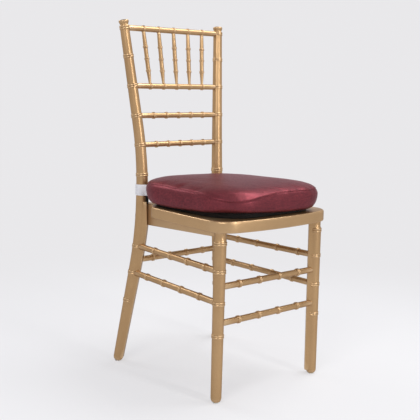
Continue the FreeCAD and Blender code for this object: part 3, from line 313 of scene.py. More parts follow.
def merged(values, low, high, step):
    """Sorted stations from low to high: the given ones, and others where they are far apart."""
    kept = sorted({round(value, 4) for value in values if low < value < high} | {low, high})
    stations = [kept[0]]
    for value in kept[1:]:
        gap = value - stations[-1]
        parts = max(1, math.ceil(gap / step))
        start = stations[-1]
        stations += [start + gap * part / parts for part in range(1, parts + 1)]
    return stations


# Legs and posts: round, with a flat side towards the middle of the seat
# The angles round a section lie closest at the flat side's corners.

HALF_TURN = [0, 10, 20, 27, 31, 34, 37, 40, 43, 47, 52, 58, 64, 70, 76, 83, 90,
             98, 106, 114, 122, 130, 138, 146, 154, 162, 171, 180]
TURN = [math.radians(angle) for angle in HALF_TURN + [360 - angle for angle in HALF_TURN[-2:0:-1]]]
FLAT_SQUARENESS, FLAT_WIDTH_SHARE = 16, 0.93


def flat_reach(angle, reach, half_width):
    """Distance from the axis to a flat side with softly rounded corners."""
    if math.cos(angle) <= 0:
        return 0.0
    along = abs(math.cos(angle)) / reach
    across = abs(math.sin(angle)) / half_width
    return (along ** FLAT_SQUARENESS + across ** FLAT_SQUARENESS) ** (-1 / FLAT_SQUARENESS)


def leg_ring(point, way, inward, radius, reach, half_width):
    """Section of a leg, square to its centre line."""
    ahead = unit(inward - way * np.dot(inward, way))
    sideways = np.cross(way, ahead)
    ring = []
    for angle in TURN:
        distance = max(radius, flat_reach(angle, reach, half_width)) if reach > 0 else radius
        ring.append(point + ahead * (distance * math.cos(angle)) + sideways * (distance * math.sin(angle)))
    return ring


SEAT_TOP, UNDERSIDE = 441.5, 413.5
REAR_FOOT, REAR_KNEE, REAR_TOP = (182.5, 211.6, 0.0), (121.2, 161.3, 458.0), (162.3, 217.7, 919.0)
BEND = 1180.0
FRONT_FOOT, FRONT_TOP = (166.5, -182.0, 0.0), (162.6, -182.0, UNDERSIDE)
HALVINGS = 40


class RearLine:
    """Straight leg, one arc at the seat, and the straight back."""

    def __init__(self, side):
        mirror = np.array([side, 1, 1])
        self.foot, knee, top = REAR_FOOT * mirror, REAR_KNEE * mirror, REAR_TOP * mirror
        self.leg_way = unit(knee - self.foot)
        self.back_way = unit(top - knee)
        self.turn = math.acos(np.dot(self.leg_way, self.back_way))
        tangent = BEND * math.tan(self.turn / 2)
        self.arc_start = knee - self.leg_way * tangent
        self.arc_end = knee + self.back_way * tangent
        self.inward = unit(self.back_way - self.leg_way * np.dot(self.leg_way, self.back_way))

    def at(self, height):
        """Place on the line at a height, and the line's direction there."""
        if height <= self.arc_start[2]:
            return self.foot + self.leg_way * (height / self.leg_way[2]), self.leg_way
        if height >= self.arc_end[2]:
            rise = height - self.arc_end[2]
            return self.arc_end + self.back_way * (rise / self.back_way[2]), self.back_way
        low, high = 0.0, self.turn
        for _ in range(HALVINGS):
            middle = (low + high) / 2
            if self.on_arc(middle)[0][2] < height:
                low = middle
            else:
                high = middle
        return self.on_arc(low)

    def on_arc(self, angle):
        """Place and direction at an angle past the arc's start."""
        centre = self.arc_start + self.inward * BEND
        across = self.leg_way * math.sin(angle) - self.inward * math.cos(angle)
        return centre + across * BEND, self.leg_way * math.cos(angle) + self.inward * math.sin(angle)


class FrontLine:
    """The nearly upright centre line of a front leg."""

    def __init__(self, side):
        mirror = np.array([side, 1, 1])
        self.foot = FRONT_FOOT * mirror
        self.way = unit(FRONT_TOP * mirror - self.foot)

    def at(self, height):
        return self.foot + self.way * (height / self.way[2]), self.way


REAR_LINES = {side: RearLine(side) for side in SIDES.values()}
FRONT_LINES = {side: FrontLine(side) for side in SIDES.values()}

# Each side stretcher's height on the post and on the leg; a ring goes round both there.
UPPER_SIDE, LOWER_SIDE = (320.3, 319.8), (247.8, 243.4)
TOP_RAIL, SPINDLE_RAIL, MIDDLE_RAIL, LOWER_RAIL = 894, 744.5, 667.2, 591
POST_RINGS = (171, LOWER_SIDE[0], UPPER_SIDE[0], 512.5, LOWER_RAIL, MIDDLE_RAIL, SPINDLE_RAIL, 821, TOP_RAIL)
POST_RADII = ((0, 13.0), (452, 16.0), (591, 14.3), (894, 12.15), (930, 12.15))
FLAT_START = 12.0
REAR_REACH = ((FLAT_START, 13.8), (380, 20.0), (SEAT_TOP, 15.0))
FRONT_REACH = 17.4
LEG_RINGS = (164.5, LOWER_SIDE[1], UPPER_SIDE[1], 386.7)
LEG_RADII = ((0, 13.1), (LEG_RINGS[-1], 15.0))
LEG_NECK, NECK_TAPER = 13.2, 4
COLLAR_RISE, COLLAR_TALL, COLLAR_STEP = 1.3, 5, 2
SEAM = 0.2
LEG_STATION = 14
FOOT_LOW = 2.5
FOOT_ROUND = ((0.0, 8.5), (1.4, 10.2), (3.2, 11.5), (5.6, 12.5), (9.0, 13.1))
FINIAL = ((899.6, 11.9), (900.3, 10.9), (901.2, 10.5), (902.6, 10.7), (904.2, 11.3), (905.8, 12.1),
          (907.4, 12.8), (909.0, 13.2), (910.4, 13.3), (911.6, 13.0), (912.4, 12.3), (913.0, 11.2),
          (913.6, 9.0), (914.0, 6.0), (914.2, 2.5))


def along(table, value):
    """Straight interpolation in a table of (place, size)."""
    places, sizes = zip(*table)
    return float(np.interp(value, places, sizes))


def ring_rise(height, rings, half=RING_HALF, rise=RING_RISE):
    return max(ridge_pair(height - ring, half, rise) for ring in rings)


FOOT_SEAMS = [FOOT_LOW + height for height, _ in FOOT_ROUND] + [FLAT_START - SEAM, FLAT_START + SEAM]
ROUNDED_TO = FOOT_LOW + FOOT_ROUND[-1][0]


def rear_post(name, side):
    """Turned post from its glide to its finial, with a flat side that ends at the seat."""
    line = REAR_LINES[side]
    inward = np.array([-side, -1.0, 0.0])
    seams = [*FOOT_SEAMS, SEAT_TOP - SEAM, SEAT_TOP + SEAM, REAR_REACH[1][0],
             *(height for height, _ in FINIAL)]
    heights = merged(seams + ring_heights(POST_RINGS), FOOT_LOW, FINIAL[-1][0], LEG_STATION)
    rings = []
    for height in heights:
        point, way = line.at(height)
        if height >= FINIAL[0][0]:
            radius = along(FINIAL, height)
        else:
            radius = along(POST_RADII, height) + ring_rise(height, POST_RINGS)
        if height < ROUNDED_TO:
            radius = min(radius, along(FOOT_ROUND, height - FOOT_LOW))
        reach = along(REAR_REACH, height) if FLAT_START < height < SEAT_TOP else 0.0
        half_width = FLAT_WIDTH_SHARE * along(POST_RADII, height)
        rings.append(leg_ring(point, way, inward, radius, reach, half_width))
    return skin(name, rings)


def front_leg(name, side):
    """Turned leg with a neck above its top ring and a small collar under the seat frame."""
    line = FRONT_LINES[side]
    inward = np.array([-side, 1.0, 0.0])
    neck_start = LEG_RINGS[-1] + RING_HALF
    neck_end = neck_start + NECK_TAPER
    seams = FOOT_SEAMS + [neck_end, UNDERSIDE - COLLAR_TALL, UNDERSIDE - COLLAR_STEP]
    heights = merged(seams + ring_heights(LEG_RINGS), FOOT_LOW, UNDERSIDE, LEG_STATION)
    rings = []
    for height in heights:
        point, way = line.at(height)
        radius = along(LEG_RADII, height) + ring_rise(height, LEG_RINGS)
        if height > neck_start:
            share = min(1.0, (height - neck_start) / (neck_end - neck_start))
            radius = along(LEG_RADII, height) * (1 - share) + LEG_NECK * share
            radius += COLLAR_RISE * max(0.0, 1 - (UNDERSIDE - height) / COLLAR_TALL) ** 2
        if height < ROUNDED_TO:
            radius = along(FOOT_ROUND, height - FOOT_LOW)
        reach = FRONT_REACH if FLAT_START < height else 0.0
        half_width = FLAT_WIDTH_SHARE * along(LEG_RADII, height)
        rings.append(leg_ring(point, way, inward, radius, reach, half_width))
    return skin(name, rings)


for word, side in SIDES.items():
    finish_piece(rear_post(f"post_turned_{word}", side), GOLD, f"rear_post_{word}")
    finish_piece(front_leg(f"leg_turned_{word}", side), GOLD, f"front_leg_{word}")


# Stretchers, rails and spindles

BAR_STEPS, BAR_STATION, TENON_STOP = 40, 30, 2.0
UPRIGHT = 0.9
STRETCHER_RADIUS, STRETCHER_BEAD, STRETCHER_BEAD_HALF = 7.8, 9.8, 4.0
SIDE_PITCH, CROSS_PITCH = 0.205, 0.204
RAIL_RADIUS, RAIL_BEAD, RAIL_BEAD_HALF, RAIL_PITCH = 7.1, 9.1, 3.5, 0.152
TOP_RAIL_RADIUS, TOP_RAIL_PITCH = 7.4, 0.157


def turned_bar(name, start, way, profile):
    """Round piece from a profile of (distance, radius)."""
    side = unit(np.cross(way, UP if abs(way[2]) < UPRIGHT else np.array([1.0, 0.0, 0.0])))
    other = np.cross(way, side)
    return skin(name, [circle(start + way * distance, side, other, radius, BAR_STEPS)
                       for distance, radius in profile])


class Bar:
    """Beaded bar between two points on the legs' centre lines."""

    def __init__(self, start, end, radius, bead_radius, bead_half, shares):
        self.start = start
        self.length = float(np.linalg.norm(end - start))
        self.way = (end - start) / self.length
        self.radius, self.rise, self.bead_half = radius, bead_radius - radius, bead_half
        self.beads = [self.length * share for share in shares]

    def bead_place(self, index):
        return self.start + self.way * self.beads[index]

    def build(self, name):
        low, high = TENON_STOP, self.length - TENON_STOP
        stations = merged(ring_heights(self.beads, self.bead_half), low, high, BAR_STATION)
        profile = [(place, self.radius + ring_rise(place, self.beads, self.bead_half, self.rise))
                   for place in stations]
        return turned_bar(name, self.start, self.way, profile)


def even_shares(beads, pitch, middle=0.5):
    """Places of evenly spread beads, as shares of a bar's length."""
    return [middle + (index - (beads - 1) / 2) * pitch for index in range(beads)]


def stretcher(start, end, pitch, middle=0.5):
    shares = even_shares(4, pitch, middle)
    return Bar(start, end, STRETCHER_RADIUS, STRETCHER_BEAD, STRETCHER_BEAD_HALF, shares)


def cross_stretcher(lines, height):
    return stretcher(lines[-1].at(height)[0], lines[1].at(height)[0], CROSS_PITCH)


def rail(height, radius=RAIL_RADIUS, pitch=RAIL_PITCH):
    start, end = (REAR_LINES[side].at(height)[0] for side in SIDES.values())
    return Bar(start, end, radius, RAIL_BEAD, RAIL_BEAD_HALF, even_shares(5, pitch))


BARS = {}
for word, side in SIDES.items():
    for level, (on_post, on_leg), middle in (("upper", UPPER_SIDE, 0.54), ("lower", LOWER_SIDE, 0.49)):
        BARS[f"{level}_side_stretcher_{word}"] = stretcher(
            REAR_LINES[side].at(on_post)[0], FRONT_LINES[side].at(on_leg)[0], SIDE_PITCH, middle)
BARS["upper_front_stretcher"] = cross_stretcher(FRONT_LINES, 282.5)
BARS["lower_front_stretcher"] = cross_stretcher(FRONT_LINES, 194)
BARS["rear_stretcher"] = cross_stretcher(REAR_LINES, 281.5)
BARS["top_rail"] = rail(TOP_RAIL, TOP_RAIL_RADIUS, TOP_RAIL_PITCH)
BARS["spindle_rail"] = rail(SPINDLE_RAIL)
BARS["middle_rail"] = rail(MIDDLE_RAIL)
BARS["lower_rail"] = rail(LOWER_RAIL)
for node, bar in BARS.items():
    finish_piece(bar.build(f"{node}_turned"), GOLD, node)

SPINDLES = 5
SPINDLE_BEAD_HALF, SPINDLE_BEAD_RISE = 3.0, 1.6
SPINDLE_BEAD_PITCH, SPINDLE_BEAD_DROP = 31.5, 3
SPINDLE_LOW, SPINDLE_BODY, SPINDLE_HIGH = 3.3, 5.5, 4.7
SPINDLE_END, SPINDLE_START, SPINDLE_STATION = 8.7, 2, 12


def spindle(index):
    """Slim turned piece from a bead of the spindle rail to the bead above it."""
    low, high = BARS["spindle_rail"].bead_place(index), BARS["top_rail"].bead_place(index)
    length = float(np.linalg.norm(high - low))
    middle = length / 2 - SPINDLE_BEAD_DROP
    beads = [middle + SPINDLE_BEAD_PITCH * step for step in (-1, 0, 1)]
    body = ((0, SPINDLE_LOW), (SPINDLE_END, SPINDLE_LOW), (beads[0] - SPINDLE_BEAD_HALF, SPINDLE_BODY),
            (beads[2] + SPINDLE_BEAD_HALF, SPINDLE_BODY), (length - SPINDLE_END, SPINDLE_HIGH),
            (length, SPINDLE_HIGH))
    stations = merged(ring_heights(beads, SPINDLE_BEAD_HALF), SPINDLE_START, length - SPINDLE_START,
                      SPINDLE_STATION)
    profile = [(place, along(body, place) + ring_rise(place, beads, SPINDLE_BEAD_HALF, SPINDLE_BEAD_RISE))
               for place in stations]
    return turned_bar(f"spindle_turned_{index + 1}", low, (high - low) / length, profile)


for index in range(SPINDLES):
    finish_piece(spindle(index), GOLD, f"spindle_{index + 1}")


# Seat frame


ARC_STEPS = 14


def arc(start, end, radius, steps):
    """Points from start up to, but not with, end, on an arc that bulges to the right of the way."""
    start, end = np.array(start, float), np.array(end, float)
    half = (end - start) / 2
    outward = unit([half[1], -half[0]])
    middle = start + half
    depth = math.sqrt(radius * radius - half @ half)
    centre = middle - outward * depth
    first = math.atan2(*(start - centre)[::-1])
    last = math.atan2(*(end - centre)[::-1])
    sweep = (last - first) % (2 * math.pi)
    return [centre + radius * np.array([math.cos(first + sweep * step / steps),
                                        math.sin(first + sweep * step / steps)]) for step in range(steps)]


def whole_outline(half, closing=None, closing_steps=ARC_STEPS):
    """Closed outline from its right half, front to back; a corner may carry an arc radius."""
    corners = list(half)
    for index in range(len(half) - 1, -1, -1):
        x, y = half[index][:2]
        radius = half[index - 1][2:] if index > 0 else (() if closing is None else (closing,))
        corners.append((-x, y, *radius))
    points = []
    for index, corner in enumerate(corners):
        after = corners[(index + 1) % len(corners)]
        if len(corner) == 3:
            steps = closing_steps if index == len(corners) - 1 else ARC_STEPS
            points += arc(corner[:2], after[:2], corner[2], steps)
        else:
            points.append(np.array(corner[:2], float))
    return np.array(points)


def inset_outline(points, inset):
    """Outline moved inwards by mitred corners."""
    before, after = np.roll(points, 1, axis=0), np.roll(points, -1, axis=0)
    first = np.apply_along_axis(unit, 1, points - before)
    second = np.apply_along_axis(unit, 1, after - points)
    left_first = np.stack([-first[:, 1], first[:, 0]], 1)
    left_second = np.stack([-second[:, 1], second[:, 0]], 1)
    mitre = (left_first + left_second) / (1 + np.sum(left_first * left_second, axis=1))[:, None]
    return points + mitre * inset


def rounded_outline(wide, ahead, back, front, rear):
    """Rectangle from its half width and its ends, with round front and rear corners."""
    return whole_outline([(wide - front, -ahead, front), (wide, front - ahead),
                          (wide, back - rear, rear), (wide - rear, back)])


def flat_faces(outer, inner, outer_start, inner_start):
    """Triangles of a flat face with a hole."""
    loops = [[Vector((*point, 0)) for point in loop] for loop in (outer, inner)]
    index = [*range(outer_start, outer_start + len(outer)), *range(inner_start, inner_start + len(inner))]
    return [tuple(index[corner] for corner in face) for face in tessellate_polygon(loops)]


FRAME_FRONT, FRAME_BACK = 229.9, 166
FRAME_BOW, FRAME_CORNER, BOW_STEPS = 11.6, 139.0, 40
FRAME_WIDEST, FRAME_NARROW = (185.5, -162), (175.3, 66)
FRONT_CORNER_ARC, SIDE_ARC, REAR_CORNER_ARC = 55, 2600, 25
CUT_CORNER = ((168.5, 81.0), (104.0, 149.0))
OPENING = np.array([118, 165, 105, 40, 40])
LEDGE_WIDE, LEDGE_DEEP = 12, 9
EDGE_PROFILE = ((3.5, 0.0), (2.2, 0.3), (1.0, 1.1), (0.25, 2.3), (0.0, 3.6),
                (0.0, 22.4), (0.25, 24.2), (0.9, 25.7), (1.9, 26.9), (3.4, 27.7), (5.4, 28.0))


def seat_frame():
    """Slab with a bowed front, rounded edges, rear corners cut for the posts, and a ledge for the panel."""
    bow_radius = (FRAME_CORNER ** 2 + FRAME_BOW ** 2) / (2 * FRAME_BOW)
    outline = whole_outline([
        (FRAME_CORNER, FRAME_BOW - FRAME_FRONT, FRONT_CORNER_ARC), (*FRAME_WIDEST, SIDE_ARC),
        (*FRAME_NARROW, REAR_CORNER_ARC), *CUT_CORNER, (CUT_CORNER[1][0], FRAME_BACK),
    ], bow_radius, BOW_STEPS)
    loops = [(inset_outline(outline, inset), UNDERSIDE + rise) for inset, rise in EDGE_PROFILE]
    ledge, opening = rounded_outline(*(OPENING + LEDGE_WIDE)), rounded_outline(*OPENING)
    ledge_height = SEAT_TOP - LEDGE_DEEP
    hole = ((ledge, SEAT_TOP), (ledge, ledge_height), (opening, ledge_height), (opening, UNDERSIDE))
    points = [(x, y, height) for loop, height in (*loops, *hole) for x, y in loop]
    around, inner = len(outline), len(opening)
    hole_start = len(loops) * around
    faces = strip_faces(len(loops), around) + strip_faces(len(hole), inner, hole_start)
    faces += flat_faces(loops[-1][0], ledge, hole_start - around, hole_start)
    faces += flat_faces(loops[0][0], opening, 0, len(points) - inner)
    return new_object("seat_frame_rounded", points, faces, crease=30)


finish_piece(seat_frame(), GOLD, "seat_frame")


# Cushion, its base and straps
# The form is a list of (share of the height, inset from the outline); NEAR_CORNER is the photo's.

CUSHION_LOW, CUSHION_TOP = 445.5, 516.0
CUSHION_TALL = CUSHION_TOP - CUSHION_LOW
CUSHION_WIDE, CUSHION_AHEAD, CUSHION_BACK = 181.0, 226.0, 163.0
CUSHION_MIDDLE, CUSHION_LONG = (CUSHION_AHEAD - CUSHION_BACK) / 2, (CUSHION_AHEAD + CUSHION_BACK) / 2
FRONT_ROUND, REAR_ROUND = 100.0, 110.0
CUSHION_FORM = ((0.10, 60.0), (0.10, 26.0), (0.04, 19.5), (0.0, 12.5), (0.02, 7.5), (0.08, 3.4), (0.18, 0.9),
                (0.32, 0.0), (0.48, 0.2), (0.60, 0.9), (0.68, 2.2), (0.735, 4.2), (0.77, 7.0), (0.80, 11.0),
                (0.835, 18.0), (0.87, 28.0), (0.905, 41.0), (0.94, 60.0), (0.97, 88.0), (0.99, 118.0),
                (1.0, 150.0))
OUTLINE_POINTS = 180
NEAR_CORNER = np.array([-138.0, -201.0])


def cushion_outline(inset, spread):
    wide, ahead, back = (size + spread for size in (CUSHION_WIDE, CUSHION_AHEAD, CUSHION_BACK))
    share = (wide - inset) / wide
    return rounded_outline(wide - inset, ahead - inset, back - inset, FRONT_ROUND * share, REAR_ROUND * share)


def evenly(points, total):
    """Outline with its points spread evenly along it."""
    closed = np.vstack([points, points[:1]])
    lengths = np.r_[0, np.cumsum(np.linalg.norm(np.diff(closed, axis=0), axis=1))]
    places = np.linspace(0, lengths[-1], total, endpoint=False)
    return np.stack([np.interp(places, lengths, closed[:, axis]) for axis in (0, 1)], 1)


def pad(name, form, low, spread=0.0):
    """Closed cushion form from (rise, inset) pairs."""
    rings = []
    for rise, inset in form:
        loop = evenly(cushion_outline(inset, spread), OUTLINE_POINTS)
        rings.append([(x, y, low + rise) for x, y in loop])
    return skin(name, rings, crease=80)


def evaluated_mesh(item):
    """Copy of a mesh with its modifiers worked in."""
    graph = bpy.context.evaluated_depsgraph_get()
    return bpy.data.meshes.new_from_object(item.evaluated_get(graph))


def points_of(mesh):
    flat = np.empty(len(mesh.vertices) * 3)
    mesh.vertices.foreach_get("co", flat)
    return flat.reshape(-1, 3)


def set_points(mesh, points):
    mesh.vertices.foreach_set("co", np.asarray(points, float).ravel())
    mesh.update()


def with_modifier(item, kind, **settings):
    """Work one modifier into the item's own mesh."""
    modifier = item.modifiers.new(kind.lower(), kind)
    for key, value in settings.items():
        setattr(modifier, key, value)
    mesh = evaluated_mesh(item)
    item.modifiers.remove(modifier)
    item.data = mesh


FILL_FRAMES, FILL_QUALITY, FILL_PRESSURE = 20, 5, 4
FILL_REACH, FILL_VOXEL = 0.004, 0.005


def fill(item):
    """Cloth blown up by a little air, no point moving further than the filling pushes it."""
    with_modifier(item, "REMESH", mode="VOXEL", voxel_size=FILL_VOXEL)
    start = points_of(item.data)
    cloth = item.modifiers.new("cloth", "CLOTH")
    cloth.settings.quality = FILL_QUALITY
    cloth.settings.use_pressure = True
    cloth.settings.uniform_pressure_force = FILL_PRESSURE
    cloth.settings.effector_weights.gravity = 0
    for step in range(1, FILL_FRAMES + 1):
        bpy.context.scene.frame_set(step)
    filled = points_of(evaluated_mesh(item))
    item.modifiers.remove(cloth)
    bpy.context.scene.frame_set(1)
    moved = filled - start
    far = np.linalg.norm(moved, axis=1, keepdims=True)
    set_points(item.data, start + moved * np.minimum(1, FILL_REACH / np.maximum(far, 1e-9)))
    with_modifier(item, "SUBSURF", levels=1)


def steady_noise(points, scale, seed):
    """Smooth value from -1 to 1 at each point."""
    return np.array([noise.noise(Vector(point * scale) + Vector((seed, seed, seed))) for point in points])


def bell(value, middle, width):
    return np.exp(-((value - middle) / width) ** 2)


def near_corner(x, y, reach):
    """1 at the photo's near corner, fading out over the reach."""
    return np.exp(-((x - NEAR_CORNER[0]) ** 2 + (y - NEAR_CORNER[1]) ** 2) / reach ** 2)


def fade(value, start, end):
    """0 before the start, 1 past the end, straight between."""
    return np.clip((value - start) / (end - start), 0, 1)


# Shares are of the cushion's height, depths and lifts are millimetres.
FOLD_SHARE, FOLD_DIP, FOLD_DIP_REACH = 0.742, 0.25, 74.0
FOLD_WAVES = ((0.012, 0.031, 1.0), (0.010, 0.043, 0.0))
CORNER_REACH = 84.0
FOLD_DEPTH, FOLD_CORNER_DEPTH, FOLD_ABOVE, FOLD_BELOW, FOLD_HELD = 1.3, 1.9, 0.035, 0.10, 0.95
SLOPE_DEPTH, SLOPE_UP, SLOPE_HALF, SLOPE_FRONT = 6.5, 0.26, 0.14, 0.45
FRONT_X, FRONT_Y = (150, 60), (-150, -210)
LIP_DEPTH, LIP_CORNER_DEPTH, LIP_UP, LIP_HALF = 0.5, 1.6, 0.05, 0.04
DRAWN_IN, DRAWN_TOP, DRAWN_CURVE = 9.0, 0.6, 1.3
DRAWN_X, DRAWN_Y = (30, 150), (10, 120)
GATHERS, GATHER_DEPTH, GATHER_SHARE, GATHER_HALF, GATHER_STRAY = 70, 0.3, 0.14, 0.2, 7
CORNER_LIFT, CORNER_LIFT_REACH, CORNER_LIFT_CURVE = 9.0, 125.0, 1.5
SUNK, SUNK_X, SUNK_Y = 3.5, (110.0, 110.0), (60.0, 130.0)
OUT_SQUEEZE, OUT_SHIFT, EDGE_POWER = 0.93, 28, 4
SLACK, SLACK_UP = ((0.018, 3.0, 1.1), (0.045, 9.0, 0.5)), 0.5


def fold_share(x, y):
    """How far up the side the fold under the shoulder lies."""
    wave = sum(size * np.sin(value * rate + start) for value, (size, rate, start) in zip((x, y), FOLD_WAVES))
    return FOLD_SHARE - FOLD_DIP * near_corner(x, y, FOLD_DIP_REACH) + wave


def side_push(x, y, share, edge):
    """How far outwards each point of the side moves: fold, slope and lip above it, drawn-in far sides."""
    corner = near_corner(x, y, CORNER_REACH)
    fold = fold_share(x, y)
    above = share > fold
    below = np.maximum(bell(share, fold, FOLD_BELOW), FOLD_HELD * corner)
    depth = FOLD_DEPTH + FOLD_CORNER_DEPTH * corner
    push = -depth * np.where(above, bell(share, fold, FOLD_ABOVE), below) * edge
    front = fade(y, *FRONT_Y) * fade(x, *FRONT_X)
    slope = np.maximum(corner, SLOPE_FRONT * front)
    push -= SLOPE_DEPTH * slope * bell(share, fold + SLOPE_UP, SLOPE_HALF) * above
    push += (LIP_DEPTH + LIP_CORNER_DEPTH * slope) * bell(share, fold + LIP_UP, LIP_HALF) * edge
    far_side = np.maximum(fade(x, *DRAWN_X), fade(y, *DRAWN_Y))
    push -= DRAWN_IN * far_side * np.clip(1 - share / DRAWN_TOP, 0, 1) ** DRAWN_CURVE * edge
    return push


def shape_cushion(mesh):
    """Lifted near corner, fold under the shoulder, drawn-in sides, slack satin and gathers."""
    points = points_of(mesh) / MM
    x, y, z = points.T.copy()
    share = (z - CUSHION_LOW) / CUSHION_TALL
    out = np.stack([x, y * OUT_SQUEEZE + OUT_SHIFT], 1)
    out /= np.maximum(np.linalg.norm(out, axis=1, keepdims=True), 1e-9)
    edge = ((np.abs(x) / CUSHION_WIDE) ** EDGE_POWER
            + (np.abs(y + CUSHION_MIDDLE) / CUSHION_LONG) ** EDGE_POWER)
    edge = np.clip(edge, 0, 1)
    push = side_push(x, y, share, edge)
    slack = sum(steady_noise(points, scale, seed) * size for scale, seed, size in SLACK)
    fine = steady_noise(points, 0.03, 5.0)
    gathers = np.sin(np.arctan2(y + CUSHION_MIDDLE, x) * GATHERS + fine * GATHER_STRAY) * (0.5 + 0.5 * fine)
    push += slack * edge + gathers * GATHER_DEPTH * bell(share, GATHER_SHARE, GATHER_HALF) * edge
    above = share > fold_share(x, y)
    points[:, :2] += out * push[:, None]
    points[:, 2] += slack * SLACK_UP * above
    points[:, 2] += (CORNER_LIFT * near_corner(x, y, CORNER_LIFT_REACH)
                     * np.clip(1 - share, 0, 1) ** CORNER_LIFT_CURVE)
    points[:, 2] -= SUNK * bell(x, *SUNK_X) * bell(y, *SUNK_Y) * above
    set_points(mesh, points * MM)


FILL_SLIM, FILL_SPREAD, FILL_UP = 3.0, 2.5, 0.3


def cushion():
    """Satin cover on a soft filling, started slimmer and wider than it ends."""
    slim, spread = ((FILL_SLIM, FILL_SPREAD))
    tall = CUSHION_TALL - slim
    form = [(slim * FILL_UP + share * tall, inset) for share, inset in CUSHION_FORM]
    item = pad("cushion_filled", form, CUSHION_LOW, spread)
    fill(item)
    shape_cushion(item.data)
    item.data.polygons.foreach_set("use_smooth", [True] * len(item.data.polygons))
    return item


filled = cushion()
finish_piece(filled, SATIN, "cushion")

SEAM_POINTS, SEAM_SIDES, SEAM_RADIUS, SEAM_OVER_FOLD = 360, 8, 0.7, 0.02
SEAM_GUESS, SEAM_OUTSIDE = 170, 400


def seam_line(item):
    """Points along the shoulder seam, found on the cushion from outside."""
    tree = BVHTree.FromObject(item, bpy.context.evaluated_depsgraph_get())
    line = []
    for step in range(SEAM_POINTS):
        angle = 2 * math.pi * step / SEAM_POINTS
        way = Vector((math.cos(angle), math.sin(angle), 0))
        guess = way * SEAM_GUESS
        share = float(fold_share(guess.x, guess.y - CUSHION_MIDDLE)) + SEAM_OVER_FOLD
        start = (way * SEAM_OUTSIDE + Vector((0, -CUSHION_MIDDLE, CUSHION_LOW + CUSHION_TALL * share))) * MM
        place = tree.ray_cast(start, -way)[0]
        line.append(np.array(place) / MM)
    return np.array(line)


def closed_cord(name, line, radius):
    """Thin tube along a closed line."""
    total = len(line)
    points = []
    for step in range(total):
        way = unit(line[(step + 1) % total] - line[step - 1])
        side = unit(np.cross(way, UP))
        points += circle(line[step], side, np.cross(side, way), radius, SEAM_SIDES)
    return new_object(name, points, strip_faces(total, SEAM_SIDES, closed=True), crease=80)


finish_piece(closed_cord("cushion_seam", seam_line(filled), SEAM_RADIUS), SATIN)

BASE_FORM = ((0.0, 28.0), (0.6, 24.6), (2.4, 23.4), (6.0, 22.6), (8.5, 23.2), (10.0, 26.0), (10.4, 40.0))
BASE_TALL = BASE_FORM[-1][0]
BASE_LIFT, BASE_LIFT_REACH = 9.5, 105.0


def cushion_base():
    """Black underside of the cushion, flat on the seat and lifted with the near corner."""
    item = pad("cushion_base_sewn", BASE_FORM, SEAT_TOP)
    points = points_of(item.data) / MM
    lift = BASE_LIFT * near_corner(points[:, 0], points[:, 1], BASE_LIFT_REACH)
    points[:, 2] += lift * np.clip((points[:, 2] - SEAT_TOP) / BASE_TALL, 0, 1)
    set_points(item.data, points * MM)
    return item


base = cushion_base()
finish_piece(base, BLACK, "cushion_base")

STRAP_MIDDLE, STRAP_HALF, STRAP_THICK, STRAP_SLACK = 472.5, 14.5, 1.3, 0.4
STRAP_INTO_CUSHION, STRAP_APART, STRAP_LEAVES = 3.0, 5.0, 0.93
STRAP_STEPS, LEAD_STEPS, LAP_STEPS, TAB_STEPS = 48, 6, 14, 7
LAP_START, LAP_END, LAP_SLIMMER, LAP_THINNER = 150, 232, 0.7, 0.3
TAPE_EDGE = 0.4
TAB_HEIGHT, TAB_SHIFT, TAB_WAY = 448, (-4.5, -16.8, 0.0), (-0.92, -0.12, 0.0)
TAB_REACH, TAB_HALF, TAB_THICK, TAB_BEND, TAB_WAVE = 4.2, 11.2, 1.5, 0.5, 0.6


def band(name, path, half, thick, base, way):
    """Flat tape on edge along an open path of (ahead, across) places in the plane square to a way."""
    places = np.stack(path, 1)
    before, after = np.vstack([places[:1], places[:-1]]), np.vstack([places[1:], places[-1:]])
    tangent = after - before
    tangent /= np.linalg.norm(tangent, axis=1, keepdims=True)
    normal = np.stack([-tangent[:, 1], tangent[:, 0]], 1)
    shy = half - TAPE_EDGE
    section = ((-half, -0.5), (-shy, -1), (shy, -1), (half, -0.5),
               (half, 0.5), (shy, 1), (-shy, 1), (-half, 0.5))
    rings = []
    for place, out in zip(places, normal):
        ring = []
        for rise, face in section:
            ahead, across = place + out * (face * thick / 2)
            ring.append(base["at"] + base["ahead"] * ahead + base["across"] * across + way * rise)
        rings.append(ring)
    return skin(name, rings, crease=50)


